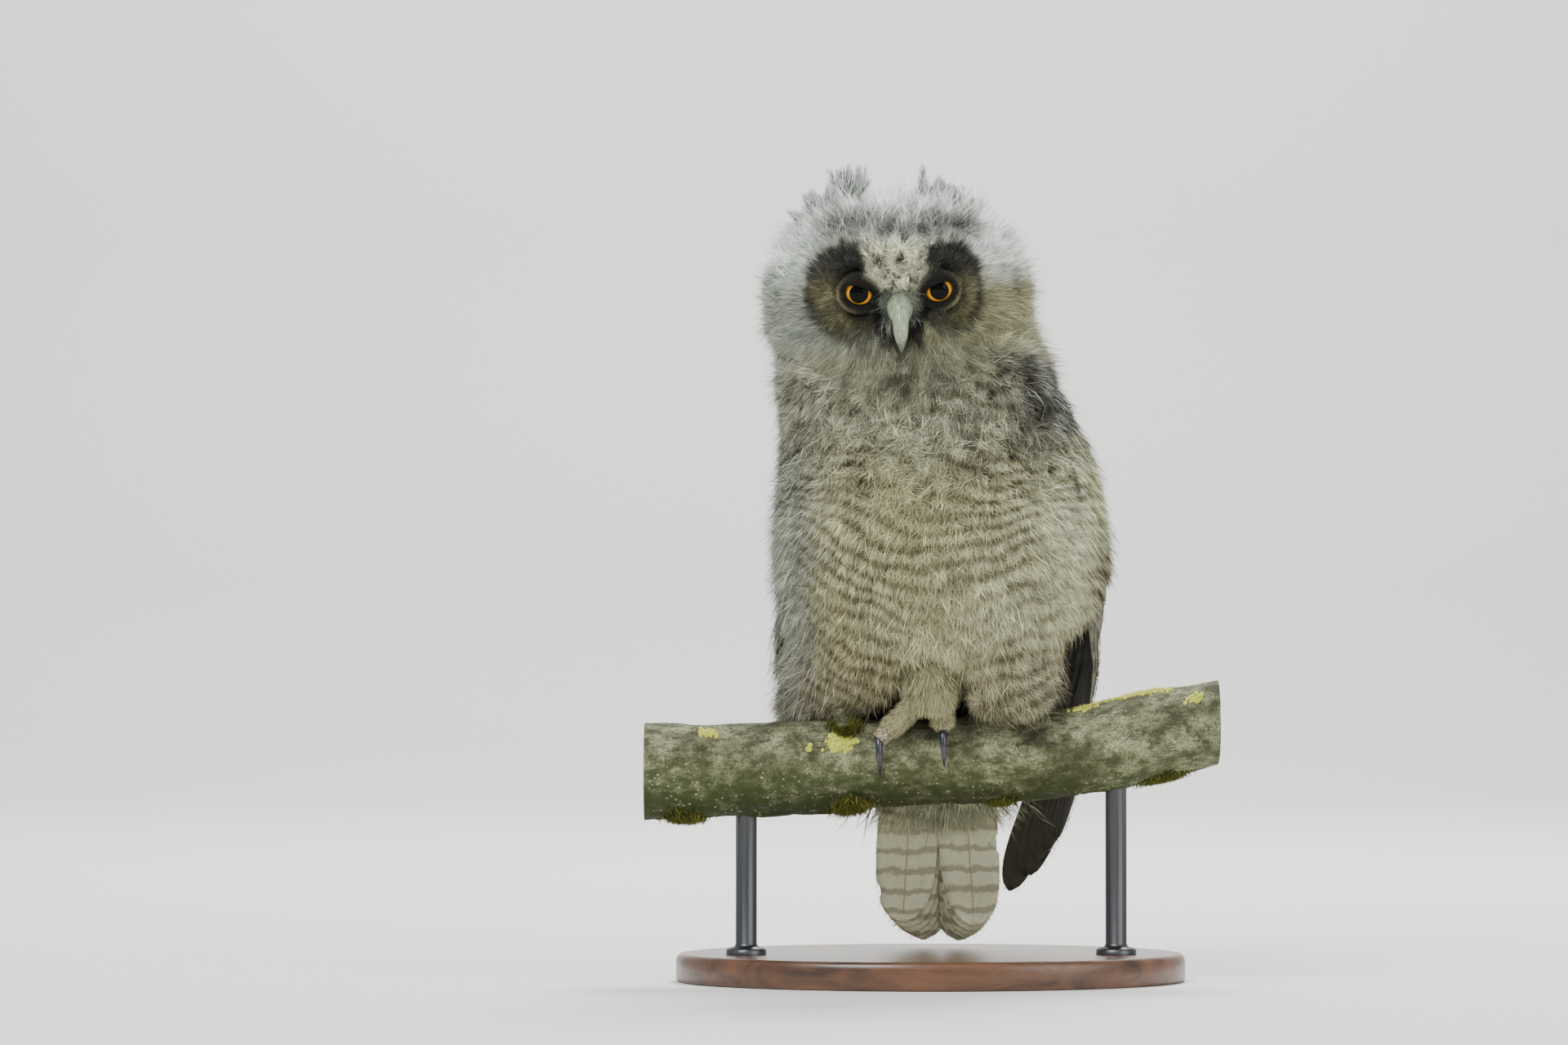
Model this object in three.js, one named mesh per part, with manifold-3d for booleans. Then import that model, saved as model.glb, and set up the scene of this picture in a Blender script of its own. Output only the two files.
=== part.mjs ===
// A fledgling long-eared owl in its grey down, standing on one foot on a cut length of branch
// that a plain display stand holds. Units are millimetres. The bird looks along -Y, its left
// side is towards +X, +Z is up, and the origin is the middle of the stand's underside.

import * as THREE from "three";
import { mergeVertices } from "three/addons/utils/BufferGeometryUtils.js";
import Module from "manifold-3d";

const wasm = await Module();
wasm.setup();

const { PI, sin, cos, abs, sign, hypot, exp, min, max } = Math;
const DEG = PI / 180;
const GAP = 0.35; // clearance kept between pieces that touch
const LEFT = 1; // the bird's own left, towards +X
const RIGHT = -1;

// Driving dimensions

const BODY_YAW = -10 * DEG; // the body is turned a little past the line of sight
const BODY_ROUNDNESS = 2.3; // exponent of the body's cross-section: 2 is an ellipse

// Height, half-width, depth in front, depth behind, centre x, centre y of the downy body.
const BODY_ROWS = [
  [107, 34, 18, 24, 4.4, 6],
  [112, 47, 29, 35, 4.4, 5],
  [119, 56, 38, 42, 4.3, 4],
  [130, 61, 47, 47, 4.2, 3],
  [142, 65, 54, 51, 4.0, 2],
  [156, 67.5, 58, 54, 3.2, 0],
  [177, 69, 60, 56, 1.4, -2],
  [208, 66.5, 58, 54, -0.2, -3],
  [229, 63.5, 54, 52, -2.4, -3],
  [250, 61, 49, 50, -5.0, -3],
  [268, 56, 42, 47, -7.5, -2],
  [286, 48, 34, 42, -9.5, 0],
  [300, 34, 22, 32, -10.5, 2],
];
const NECK_TOP = 256;
const NECK_BOTTOM = 238;

const HEAD = {
  at: [-13.8, -7, 288],
  pitch: 10 * DEG, // it looks slightly down
  roll: -2.3 * DEG,
  wide: 57,
  front: 43,
  back: 45,
  up: 45,
  down: 43,
  squareness: 2.25,
};
const EYE = { x: 16.8, y: -35.5, z: 9.3, radius: 9, bulge: 1.1 };
const LID = { thick: 1.2, wide: 7.0, high: 5.0, slant: 14 * DEG, reach: 7.4 };
const DISC = { x: 18.5, z: -0.5, radius: 23, dish: 4.5, dishRadius: 15, rim: 2.6, rimWidth: 4.5 };
const BRIDGE = { height: 5, width: 4.5, flare: 0.42, low: -12, high: 26 };
const BROW = { height: 2.6, width: 3.6, rise: 0.62, from: 5, to: 27 };

// An ear tuft is a fan of flat locks on a low root, highest on its inner side.
const TUFT = { x: 23, y: 1, z: 36, size: [12, 8, 7.5], locks: 5, length: 23, half: 4.4 };
const LOCK_WIDTHS = [[0, 0.9], [0.4, 0.85], [0.75, 0.5], [1, 0.1]];

const BILL = {
  path: [
    [0, -33, 5],
    [0, -44, 3],
    [0, -50.5, -2],
    [0, -53, -8.5],
    [0, -50.5, -15],
  ],
  half: [5.6, 5.3, 4.4, 2.9, 0.5],
  deep: [5.6, 4.8, 4.0, 2.7, 0.5],
};
const LOWER_BILL = {
  path: [
    [0, -36, -3],
    [0, -43, -8],
    [0, -47.5, -12.5],
  ],
  half: [4.2, 3.5, 1.2],
  deep: [2.6, 2.0, 0.7],
};
const NOSTRIL = { at: [4.2, -52, -2.2], radius: 1.1 };

const WING = {
  lowRows: [
    [30, 42, 40, 32, 4.3, 20],
    [75, 56, 44, 36, 4.3, 18],
    [110, 62, 48, 40, 4.3, 16],
    [134, 65, 52, 48, 4.0, 8],
  ],
  tuck: { [LEFT]: 1, [RIGHT]: 0.6 }, // how close the tip is held to the tail
  turn: { [LEFT]: 0, [RIGHT]: 26 }, // how far the lowest tips lie round behind it
  tuckFrom: 150,
  top: 250,
  bottom: 128,
};

// Tiers of the folded wing, from the lowest layer out. Each runs from its front feather to its
// hindmost: root and tip are [angle round the body, height], lift is how far it stands off.
const TIERS = [
  { count: 5, root: [[92, 182], [116, 166]], tip: [[114, 34], [134, 64]], half: 9.5, lift: 1.5, steps: 5 },
  { count: 5, root: [[100, 196], [146, 202]], tip: [[122, 88], [154, 124]], half: 11, lift: 2.8, steps: 3 },
  { count: 5, root: [[86, 216], [146, 226]], tip: [[97, 162], [152, 184]], half: 10.5, lift: 3.6, steps: 3 },
  { count: 3, root: [[92, 240], [134, 240]], tip: [[93, 204], [144, 214]], half: 15, lift: 4.4, steps: 2 },
];
const FEATHER = { thick: 0.9, step: 0.7, tilt: 0.45, sunk: 1.9 };
const FEATHER_WIDTHS = [[0, 0.35], [0.25, 0.85], [0.5, 1], [0.8, 0.9], [0.93, 0.6], [1, 0.22]];
// The tail's feathers lie in pairs, the outer ones nearer the viewer.
const TAIL = { x: 4, root: 114, tip: 18, pairs: 5, half: 12.5, spread: 17, step: 1.7 };
const RUMP_ROWS = [
  [66, 5, 3, 3, 3.5, 33],
  [74, 13, 6, 4, 3.5, 31],
  [90, 20, 10, 7, 4.0, 28],
  [108, 25, 13, 10, 4.0, 24],
  [130, 29, 16, 16, 4.2, 20],
];

const PERCH = { y: -14, left: -121, right: 121 };
const PERCH_ROWS = [
  [-121, 88.9, 19.8],
  [-62, 90.5, 19.7],
  [0, 93.8, 18.5],
  [55, 96.9, 18.8],
  [121, 109.8, 18.3],
];
const STUB = { x: -34, angle: 44 * DEG, radius: 3.4, length: 13, lean: [-0.35, -0.4, 0.84] };

const THIGHS = {
  [RIGHT]: { at: [-28, -18, 130], size: [27, 34, 28] },
  [LEFT]: { at: [34, -24, 131], size: [26, 34, 27] },
};
const SHANK = {
  path: [
    [-4, -10, 144],
    [-2, -15, 132],
    [0, -17, 120],
  ],
  half: [11, 12, 11],
  deep: [9, 10.5, 10],
};
// The belly down parts here and shows the foot.
const PARTINGS = [
  { at: [-2, -46, 110], size: [18, 27, 29] },
  { at: [-4, -14, 112], size: [29, 34, 15] },
];
const FOOT = { at: [0, -15, 119], size: [12, 11, 7.5] };

// Each toe lies on the perch: x, angle round the perch from its top, height above the bark.
const TOES = {
  toe_inner: { route: [[2, 4, 8], [4, 28, 5.2], [4.3, 44, 4.2], [4.4, 55, 3.8]], thick: 4.3 },
  toe_middle: { route: [[-4, 4, 8], [-11.5, 14, 5.4], [-18, 40, 4.4], [-22.5, 62, 3.7]], thick: 4.2 },
  toe_hind: { route: [[3, -6, 7], [6, -30, 4.6], [8, -50, 4], [9, -62, 3.6]], thick: 3.9 },
  toe_outer: { route: [[-5, -6, 7], [-12, -28, 5], [-17, -50, 4.2], [-20, -66, 3.6]], thick: 4.1 },
};
// The other foot is drawn up, closed, under the belly.
const FIST = {
  socket: { at: [25, -31, 121], size: [18, 18, 11.5] },
  shank: { path: [[23, -16, 138], [24, -22, 129], [25, -27, 124.5]], half: [8, 7.5, 7], deep: [8, 7, 5.5] },
  spread: 6.6,
  toe: [[0, -28, 125], [0, -36.5, 123.5], [0, -38.5, 119], [0, -34, 117]],
  toeHalf: [3.6, 3.7, 3.5, 3.1],
  claw: [[0, -35.5, 117], [0, -31, 114.9], [0, -26.5, 114.8], [0, -23.5, 116.4]],
  clawHalf: [1.6, 1.5, 1, 0.3],
};
const CLAW = { turn: 42, thick: 1.75, drift: 0.6 };

const BASE = { wide: 108, deep: 80, thick: 12, edge: 3 };
const ROD = { x: 78, radius: 4.5 };

// Shape helpers

const bump = (t) => exp(-t * t);
const mix = (a, b, t) => a + (b - a) * t;
const smooth = (low, high, x) => {
  const t = min(max((x - low) / (high - low), 0), 1);
  return t * t * (3 - 2 * t);
};
const point = (x, y, z) => new THREE.Vector3(x, y, z);

// Seeded numbers from 0 to 1, the same in each run.
function seeded(seed) {
  let state = seed;
  return () => {
    state = (state + 0x6d2b79f5) | 0;
    let n = Math.imul(state ^ (state >>> 15), 1 | state);
    n = (n + Math.imul(n ^ (n >>> 7), 61 | n)) ^ n;
    return ((n ^ (n >>> 14)) >>> 0) / 4294967296;
  };
}

const power = (value, roundness) => sign(value) * abs(value) ** (2 / roundness);

// A smooth curve through rows of [position, value, value, ...], read at any position.
function curveThrough(rows) {
  const last = rows.length - 1;
  const slope = (i, k) => {
    const a = rows[max(i - 1, 0)];
    const b = rows[min(i + 1, last)];
    return (b[k] - a[k]) / (b[0] - a[0]);
  };
  return (position) => {
    const at = min(max(position, rows[0][0]), rows[last][0]);
    const i = rows.findIndex((row, n) => n === last - 1 || at <= rows[n + 1][0]);
    const [a, b] = [rows[i], rows[i + 1]];
    const step = b[0] - a[0];
    const t = (at - a[0]) / step;
    const [t2, t3] = [t * t, t * t * t];
    return a.slice(1).map((from, n) => {
      const to = b[n + 1];
      const value = (2 * t3 - 3 * t2 + 1) * from + (3 * t2 - 2 * t3) * to;
      return value + step * ((t3 - 2 * t2 + t) * slope(i, n + 1) + (t3 - t2) * slope(i + 1, n + 1));
    });
  };
}

// Moves every vertex of a geometry to where the function sends it, and closes the seams.
function moulded(geometry, place) {
  const source = geometry.clone();
  for (const name of ["normal", "uv"]) source.deleteAttribute(name);
  const at = source.getAttribute("position");
  for (let i = 0; i < at.count; i++) {
    const p = place(new THREE.Vector3().fromBufferAttribute(at, i));
    at.setXYZ(i, p.x, p.y, p.z);
  }
  return mergeVertices(source, 1e-3);
}

// A closed geometry as a solid for cutting and joining, turned face outwards if need be.
function solid(geometry) {
  const plain = geometry.clone();
  for (const name of ["normal", "uv"]) plain.deleteAttribute(name);
  const merged = mergeVertices(plain, 1e-3);
  const corners = Array.from(merged.index.array);
  const vertices = merged.getAttribute("position").array;
  const kept = [];
  let volume = 0;
  for (let i = 0; i < corners.length; i += 3) {
    const [a, b, c] = corners.slice(i, i + 3);
    if (a === b || b === c || c === a) continue;
    kept.push(a, b, c);
    const [pa, pb, pc] = [a, b, c].map((n) => point(...vertices.slice(3 * n, 3 * n + 3)));
    volume += pa.dot(pb.cross(pc));
  }
  if (volume < 0) kept.reverse();
  const mesh = new wasm.Mesh({
    numProp: 3,
    vertProperties: new Float32Array(vertices),
    triVerts: new Uint32Array(kept),
  });
  return new wasm.Manifold(mesh);
}

function geometryOf(made) {
  const { vertProperties, triVerts } = made.getMesh();
  return new THREE.BufferGeometry()
    .setAttribute("position", new THREE.BufferAttribute(new Float32Array(vertProperties), 3))
    .setIndex(Array.from(triVerts));
}

const joined = (pieces) => pieces.reduce((sum, piece) => sum.add(piece));

// The largest closed surface of a solid, without sealed hollows or loose scraps.
function largest(made) {
  return made.decompose().reduce((a, b) => (a.volume() > b.volume() ? a : b));
}

// An upright form of flat-ended rows: place(angle, t, share) gives its points, where share is 0
// on the middle line of the two ends and 1 on the surface.
function upright(around, rows, place) {
  const cylinder = new THREE.CylinderGeometry(1, 1, 1, around, rows);
  return moulded(cylinder, (p) => place(Math.atan2(p.x, -p.z), p.y + 0.5, min(hypot(p.x, p.z), 1)));
}

// A round-ended form along a smooth path, with a half-width and half-depth at each path point.
function limb({ path, half, deep }, around, rows, grow = 0) {
  const curve = new THREE.CatmullRomCurve3(path.map((p) => point(...p)));
  const sizes = curveThrough(path.map((p, i) => [i / (path.length - 1), half[i], deep[i]]));
  return upright(around, rows, (angle, t, share) => {
    const centre = curve.getPoint(t);
    const along = curve.getTangent(t);
    const across = point(1, 0, 0).addScaledVector(along, -along.x).normalize();
    const outward = across.clone().cross(along).normalize();
    const [wide, high] = sizes(t);
    return centre
      .addScaledVector(across, share * (wide + grow) * sin(angle))
      .addScaledVector(outward, share * (high + grow) * cos(angle))
      .addScaledVector(along, grow * (2 * t - 1));
  });
}

function egg(at, size, around, rows, grow = 0) {
  return moulded(new THREE.SphereGeometry(1, around, rows), (p) =>
    point(
      at[0] + p.x * (size[0] + grow),
      at[1] + p.z * (size[1] + grow),
      at[2] + p.y * (size[2] + grow),
    ),
  );
}

// A thin closed plate: place(u, v, face) gives a point, with u along it from 0 to 1, v across it
// from -1 to 1, and face 1 on its outer side and -1 on its inner side. Both sides have their
// diagonals alike, so they never cross.
function plate(along, across, place) {
  const points = [];
  const index = [];
  const id = (i, j, face) => (i * (across + 1) + j) * 2 + (face > 0 ? 1 : 0);
  for (let i = 0; i <= along; i++)
    for (let j = 0; j <= across; j++)
      for (const face of [-1, 1]) points.push(place(i / along, (2 * j) / across - 1, face));
  const quad = (a, b, c, d) => index.push(a, b, c, a, c, d);
  for (let i = 0; i < along; i++)
    for (let j = 0; j < across; j++) {
      quad(id(i, j, 1), id(i + 1, j, 1), id(i + 1, j + 1, 1), id(i, j + 1, 1));
      index.push(id(i, j, -1), id(i + 1, j + 1, -1), id(i + 1, j, -1));
      index.push(id(i, j, -1), id(i, j + 1, -1), id(i + 1, j + 1, -1));
    }
  for (let i = 0; i < along; i++) {
    quad(id(i, 0, -1), id(i + 1, 0, -1), id(i + 1, 0, 1), id(i, 0, 1));
    quad(id(i + 1, across, -1), id(i, across, -1), id(i, across, 1), id(i + 1, across, 1));
  }
  for (let j = 0; j < across; j++) {
    quad(id(0, j + 1, -1), id(0, j, -1), id(0, j, 1), id(0, j + 1, 1));
    quad(id(along, j, -1), id(along, j + 1, -1), id(along, j + 1, 1), id(along, j, 1));
  }
  return new THREE.BufferGeometry().setFromPoints(points).setIndex(index);
}

// Everything between two heights.
function slice(low, high) {
  return solid(new THREE.BoxGeometry(400, 400, high - low).translate(0, 0, (low + high) / 2));
}

// Body

const body = curveThrough(BODY_ROWS);

// A point of an upright oval row, turned with the body: angle 0 is the breast and a positive
// angle goes round by the bird's left side.
function ovalPoint([wide, front, back, x, y], angle, height, grow) {
  const across = (wide + grow) * power(sin(angle), BODY_ROUNDNESS);
  const depth = (cos(angle) > 0 ? front : back) + grow;
  const along = -depth * power(cos(angle), BODY_ROUNDNESS);
  return point(
    x + across * cos(BODY_YAW) - along * sin(BODY_YAW),
    y + across * sin(BODY_YAW) + along * cos(BODY_YAW),
    height,
  );
}

function ovalForm(rows, around, steps, grow = 0) {
  const read = curveThrough(rows);
  const [low, high] = [rows[0][0], rows.at(-1)[0]];
  return upright(around, steps, (angle, t, share) => {
    const height = mix(low, high, t);
    const row = read(height);
    const edge = ovalPoint(row, angle, height + grow * (2 * t - 1), grow);
    return point(row[3], row[4], edge.z).lerp(edge, share);
  });
}

const headFrame = new THREE.Matrix4()
  .makeRotationFromEuler(new THREE.Euler(HEAD.pitch, HEAD.roll, 0))
  .setPosition(...HEAD.at);

// How far the face stands out from the plain round of the head, in the head's own frame.
function faceRelief(x, z) {
  const side = abs(x);
  const high = z - EYE.z;
  const fromDisc = hypot(side - DISC.x, high - DISC.z);
  const dish = -DISC.dish * bump(fromDisc / DISC.dishRadius);
  const rim = DISC.rim * bump((fromDisc - DISC.radius) / DISC.rimWidth) * smooth(4, 16, side);
  const ridge = BRIDGE.width + BRIDGE.flare * max(high, 0);
  const bridge = BRIDGE.height * bump(side / ridge) * smooth(BRIDGE.low, BRIDGE.low + 8, high);
  const crown = 1 - smooth(BRIDGE.high - 10, BRIDGE.high + 8, high);
  const browLine = high - 1 - (side - BROW.from) * BROW.rise;
  const browSpan = smooth(BROW.from - 4, BROW.from + 4, side) * (1 - smooth(BROW.to - 6, BROW.to + 4, side));
  const brow = BROW.height * bump(browLine / BROW.width) * browSpan;
  return dish + rim + bridge * crown + brow;
}

function headForm(around, rows, grow = 0) {
  return moulded(new THREE.SphereGeometry(1, around, rows), (p) => {
    // The sphere's meridians and parallels are drawn together towards the face.
    const turn = Math.atan2(p.x, -p.z);
    const angle = turn - 0.4 * sin(turn);
    const rise = Math.asin(min(max(p.y, -1), 1));
    const tilt = rise - 0.12 * sin(2 * rise);
    const level = power(cos(tilt), HEAD.squareness);
    const x = (HEAD.wide + grow) * level * power(sin(angle), HEAD.squareness);
    const depth = (cos(angle) > 0 ? HEAD.front : HEAD.back) + grow;
    const z = ((tilt > 0 ? HEAD.up : HEAD.down) + grow) * power(sin(tilt), HEAD.squareness);
    const facing = smooth(0.25, 0.7, cos(angle) * cos(tilt));
    const y = -depth * level * power(cos(angle), HEAD.squareness) - facing * faceRelief(x, z);
    return point(x, y, z);
  }).applyMatrix4(headFrame);
}

// The whole downy bird without limbs, which thin level cuts then part.
function wholeBody(grow = 0) {
  return joined([
    solid(headForm(32, 22, grow)),
    solid(ovalForm(BODY_ROWS, 26, 15, grow)),
  ]);
}

// Eyes, lids and bill

function eyePlace(side) {
  return point(side * EYE.x, EYE.y, EYE.z);
}

// An eyeball with its clear bulge towards the viewer.
function eyeForm(side, grow = 0) {
  const profile = [];
  const steps = 9;
  for (let i = 0; i <= steps; i++) {
    const angle = (PI * i) / steps;
    const bulge = EYE.bulge * bump((PI - angle) / 0.62);
    const radius = EYE.radius + grow + bulge;
    const onAxis = i === 0 || i === steps;
    profile.push(new THREE.Vector2(onAxis ? 0 : radius * sin(angle), -radius * cos(angle)));
  }
  const place = eyePlace(side);
  return new THREE.LatheGeometry(profile, 14)
    .rotateX(PI / 2)
    .rotateX(PI)
    .translate(place.x, place.y, place.z)
    .applyMatrix4(headFrame);
}

// The almond opening between the lids, as a prism along the line of sight.
function lidOpening(side) {
  return new THREE.CylinderGeometry(1, 1, 30, 12)
    .scale(LID.wide, 1, LID.high)
    .rotateY(-side * LID.slant)
    .translate(side * EYE.x, EYE.y - 15, EYE.z - 0.4)
    .applyMatrix4(headFrame);
}

function lidForm(side) {
  const place = eyePlace(side);
  const reach = EYE.radius + EYE.bulge + LID.thick;
  const dome = new THREE.SphereGeometry(reach, 12, 8)
    .translate(place.x, place.y, place.z)
    .applyMatrix4(headFrame);
  const front = new THREE.CylinderGeometry(LID.reach + 1.2, LID.reach + 1.2, 14, 10)
    .translate(place.x, place.y - 7, place.z)
    .applyMatrix4(headFrame);
  return solid(dome).intersect(solid(front));
}

const inHead = (geometry) => geometry.applyMatrix4(headFrame);

function billForm(grow = 0) {
  return solid(inHead(limb(BILL, 10, 10, grow)));
}

function upperBill() {
  const holes = [LEFT, RIGHT].map((side) => {
    const [x, y, z] = NOSTRIL.at;
    const size = [NOSTRIL.radius, NOSTRIL.radius * 1.2, NOSTRIL.radius * 1.1];
    return solid(inHead(egg([side * x, y, z], size, 8, 6)));
  });
  return billForm().subtract(joined(holes));
}

// Perch and foot

const perch = curveThrough(PERCH_ROWS);

// A point by the perch: angle is from its top towards the viewer, lift is above the bark.
function perchPoint(x, angle, lift = 0) {
  const [height, radius] = perch(x);
  const far = radius + lift;
  return point(x, PERCH.y - far * sin(angle), height + far * cos(angle));
}

// Low swellings and hollows of old bark, smoothest under the foot.
function barkRelief(x, angle) {
  const calm = 1 - 0.8 * bump(x / 26);
  const waves = sin(x * 0.09 + 2 * sin(angle)) + 0.6 * sin(x * 0.21 + 3 * angle + 1);
  const knot = 2.4 * bump(hypot(x + 98, 20 * (angle - 2.4)) / 11) + 2 * bump(hypot(x - 92, 20 * (angle - 1.9)) / 9);
  return 0.55 * calm * waves + knot;
}

function perchForm(grow = 0) {
  const length = PERCH.right - PERCH.left;
  return upright(15, 14, (angle, t, share) => {
    const x = mix(PERCH.left, PERCH.right, t);
    const turn = PI - angle;
    const edge = perchPoint(x, turn, barkRelief(x, abs(turn) > PI ? turn - 2 * PI : turn) + grow);
    const [height] = perch(x);
    return point(x + grow * (2 * t - 1), PERCH.y, height).lerp(edge.setX(x + (grow * 2 * (x / length))), share);
  });
}

function perchSolid(grow = 0) {
  const root = perchPoint(STUB.x, STUB.angle, -6);
  const lean = point(...STUB.lean).normalize();
  const end = root.clone().addScaledVector(lean, STUB.length + 6);
  const sizes = [STUB.radius + 1.2, STUB.radius, STUB.radius * 0.9];
  const path = [root, root.clone().lerp(end, 0.5), end].map((p) => p.toArray());
  const stub = solid(limb({ path, half: sizes, deep: sizes }, 10, 4, grow));
  return solid(perchForm(grow)).add(stub);
}

function footForm(grow = 0) {
  return solid(limb(SHANK, 14, 7, grow)).add(solid(egg(FOOT.at, FOOT.size, 14, 8, grow)));
}

function toeForm({ route, thick }, grow = 0) {
  const path = route.map(([x, angle, lift]) => perchPoint(x, angle * DEG, lift).toArray());
  const sizes = route.map((_, i) => thick * [1, 0.98, 0.92, 0.72][i]);
  return solid(limb({ path, half: sizes, deep: sizes }, 9, 7, grow));
}

// A claw springs from the toe's end and curves down to the bark.
function clawForm({ route }, grow = 0) {
  const [x, angle, lift] = route.at(-1);
  const way = sign(angle);
  const path = [-0.12, 0.3, 0.68, 1].map((t, i) => {
    const rise = lift + [0.2, 0.9, -0.6, -3][i];
    return perchPoint(x + CLAW.drift * t, (angle + way * CLAW.turn * t) * DEG, rise).toArray();
  });
  const sizes = [1, 0.9, 0.55, 0.16].map((share) => CLAW.thick * share);
  return solid(limb({ path, half: sizes, deep: sizes }, 8, 7, grow));
}

// Toes of the closed foot fan out a little from its middle one: place is -1, 0 or 1.
function fistLimb(place, path, half, around, rows, grow = 0) {
  const centre = FIST.socket.at[0];
  const depth = 0.9 * abs(place);
  const fanned = path.map(([, y, z]) => [centre + place * FIST.spread, y + depth, z + depth]);
  return solid(limb({ path: fanned, half, deep: half }, around, rows, grow));
}

function fistForm() {
  const toes = [-1, 0, 1].map((place) => fistLimb(place, FIST.toe, FIST.toeHalf, 7, 4));
  return joined([solid(limb(FIST.shank, 8, 2)), ...toes]);
}

// Wings and tail

const wingRows = [...WING.lowRows, ...BODY_ROWS.filter(([height]) => height > 140)];
const wingOval = curveThrough(wingRows);

// A point over the side of the body: lift is how far it stands off.
function wingPoint(side, angle, height, lift) {
  const row = wingOval(height);
  const held = mix(WING.tuck[side], 1, smooth(60, WING.tuckFrom, height));
  return ovalPoint([row[0] * held, ...row.slice(1)], side * angle, height, lift);
}

// A flat feather: place(u, across, depth) carries it, with across and depth in millimetres.
function vane({ half, steps, thick = FEATHER.thick, widths = FEATHER_WIDTHS }, place) {
  const width = curveThrough(widths);
  return solid(
    plate(steps, 1, (u, v, face) => place(u, v * half * width(u)[0], (face * thick * (1 - 0.5 * u)) / 2)),
  );
}

// The shoulder and hand of the wing, hidden under its coverts, where all the feathers root.
function wingSlab(side) {
  const front = curveThrough([[0, 86], [0.5, 86], [1, 100]]);
  const back = curveThrough([[0, 138], [0.5, 152], [1, 150]]);
  return solid(
    plate(5, 4, (u, v, face) => {
      const height = mix(WING.top, WING.bottom, u);
      const angle = mix(front(u)[0], back(u)[0], (v + 1) / 2);
      const thick = 0.6 + 1.9 * (1 - v * v) * sin(PI * min(u + 0.12, 1));
      return wingPoint(side, angle * DEG, height, face > 0 ? 0.9 + thick : 0.9);
    }),
  );
}

function wing(side) {
  const random = seeded(side > 0 ? 11 : 29);
  const feathers = TIERS.flatMap(({ count, root, tip, half, lift, steps }) =>
    Array.from({ length: count }, (_, i) => {
      const share = i / (count - 1);
      const at = (ends, k) => mix(ends[0][k], ends[1][k], share);
      const [rootAngle, rootHeight] = [at(root, 0), at(root, 1)];
      const tipHeight = at(tip, 1) + 6 * (random() - 0.5) * (i ? 1 : 0);
      const behind = WING.turn[side] * (1 - smooth(40, 130, tipHeight));
      const tipAngle = at(tip, 0) + behind + 3 * (random() - 0.5);
      const girth = curveThrough(wingRows.map((row) => [row[0], (row[1] + row[3]) / 2]));
      const run = [(tipAngle - rootAngle) * DEG * girth((rootHeight + tipHeight) / 2)[0], tipHeight - rootHeight];
      const length = hypot(...run);
      const top = lift + i * FEATHER.step;
      return vane({ half, steps }, (u, across, depth) => {
        const centre = mix(rootHeight, tipHeight, u);
        const turn = (-run[1] * across) / length / girth(centre)[0];
        const angle = mix(rootAngle, tipAngle, u) * DEG + turn;
        const height = centre + (run[0] * across) / length;
        const standOff = mix(FEATHER.sunk, top, smooth(0, 0.35, u)) - (across / half) * FEATHER.tilt;
        return wingPoint(side, angle, height, standOff + depth);
      });
    }),
  );
  return joined([wingSlab(side), ...feathers]);
}

// The tail's own curve: it hangs down and a little back.
function tailPoint(across, height, depth) {
  const fall = max(TAIL.root - height, 0) / (TAIL.root - TAIL.tip);
  const y = 26 + 20 * fall ** 0.8;
  const away = depth + across * across * -0.004;
  return point(
    TAIL.x + across * cos(BODY_YAW) - away * sin(BODY_YAW) + (y - 26) * 0.05,
    y + across * sin(BODY_YAW) + away * cos(BODY_YAW),
    height,
  );
}

// The stump that the tail feathers root in, inside the down.
function tailStump(grow = 0) {
  const { x, y } = tailPoint(0, TAIL.root + 2, 0);
  return solid(egg([x, y - 1, TAIL.root + 3], [16, 8, 13], 10, 6, grow));
}

function tailFan() {
  const feathers = [];
  for (const side of [LEFT, RIGHT])
    for (let i = 0; i < TAIL.pairs; i++) {
      const share = (i + 0.5) / TAIL.pairs;
      const tip = TAIL.tip + 9 * share ** 2 * side * side + (side > 0 ? 0 : 1.5 * share);
      const layer = (i + (side > 0 ? 0.5 : 0)) * TAIL.step;
      const form = { half: TAIL.half, steps: 3 };
      feathers.push(
        vane(form, (u, across, depth) => {
          const height = mix(TAIL.root + 8, tip, u);
          const centre = side * share * mix(9, TAIL.spread, u);
          return tailPoint(centre + across, height, depth - layer * mix(0.15, 1, smooth(0, 0.3, u)));
        }),
      );
    }
  return joined([tailStump(), ...feathers]);
}

// The room in the down for the tail's root.
function tailSlot() {
  const deep = TAIL.pairs * TAIL.step + 1.5;
  const room = plate(4, 3, (u, v, face) =>
    tailPoint(v * 30, mix(TAIL.root + 12, 50, u), face > 0 ? 2 : -deep),
  );
  return tailStump(GAP).add(solid(room));
}

// Ear tufts

function tuft(side) {
  const random = seeded(side > 0 ? 5 : 8);
  const { x, y, z, size, locks, length, half } = TUFT;
  const root = solid(inHead(egg([side * x, y, z], size, 8, 5)));
  const fan = Array.from({ length: locks }, (_, i) => {
    const share = i / (locks - 1); // 0 on the inner side
    const lean = side * (share * 0.9 - 0.28 + 0.1 * (random() - 0.5));
    const reach = length * (1 - 0.45 * share) * (0.92 + 0.16 * random());
    const foot = side * (x + size[0] * (0.95 * share - 0.6));
    const back = (i % 2 ? 2 : -2) + 1.5 * (random() - 0.5);
    return vane({ half, steps: 4, thick: 1.8, widths: LOCK_WIDTHS }, (u, across, depth) =>
      point(
        foot + sin(lean) * u * reach + across * cos(lean),
        y + back + 3 * u * u + depth,
        z - 1 + cos(lean) * u * reach - across * sin(lean),
      ).applyMatrix4(headFrame),
    );
  });
  return joined([root, ...fan]);
}

// Stand

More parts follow.
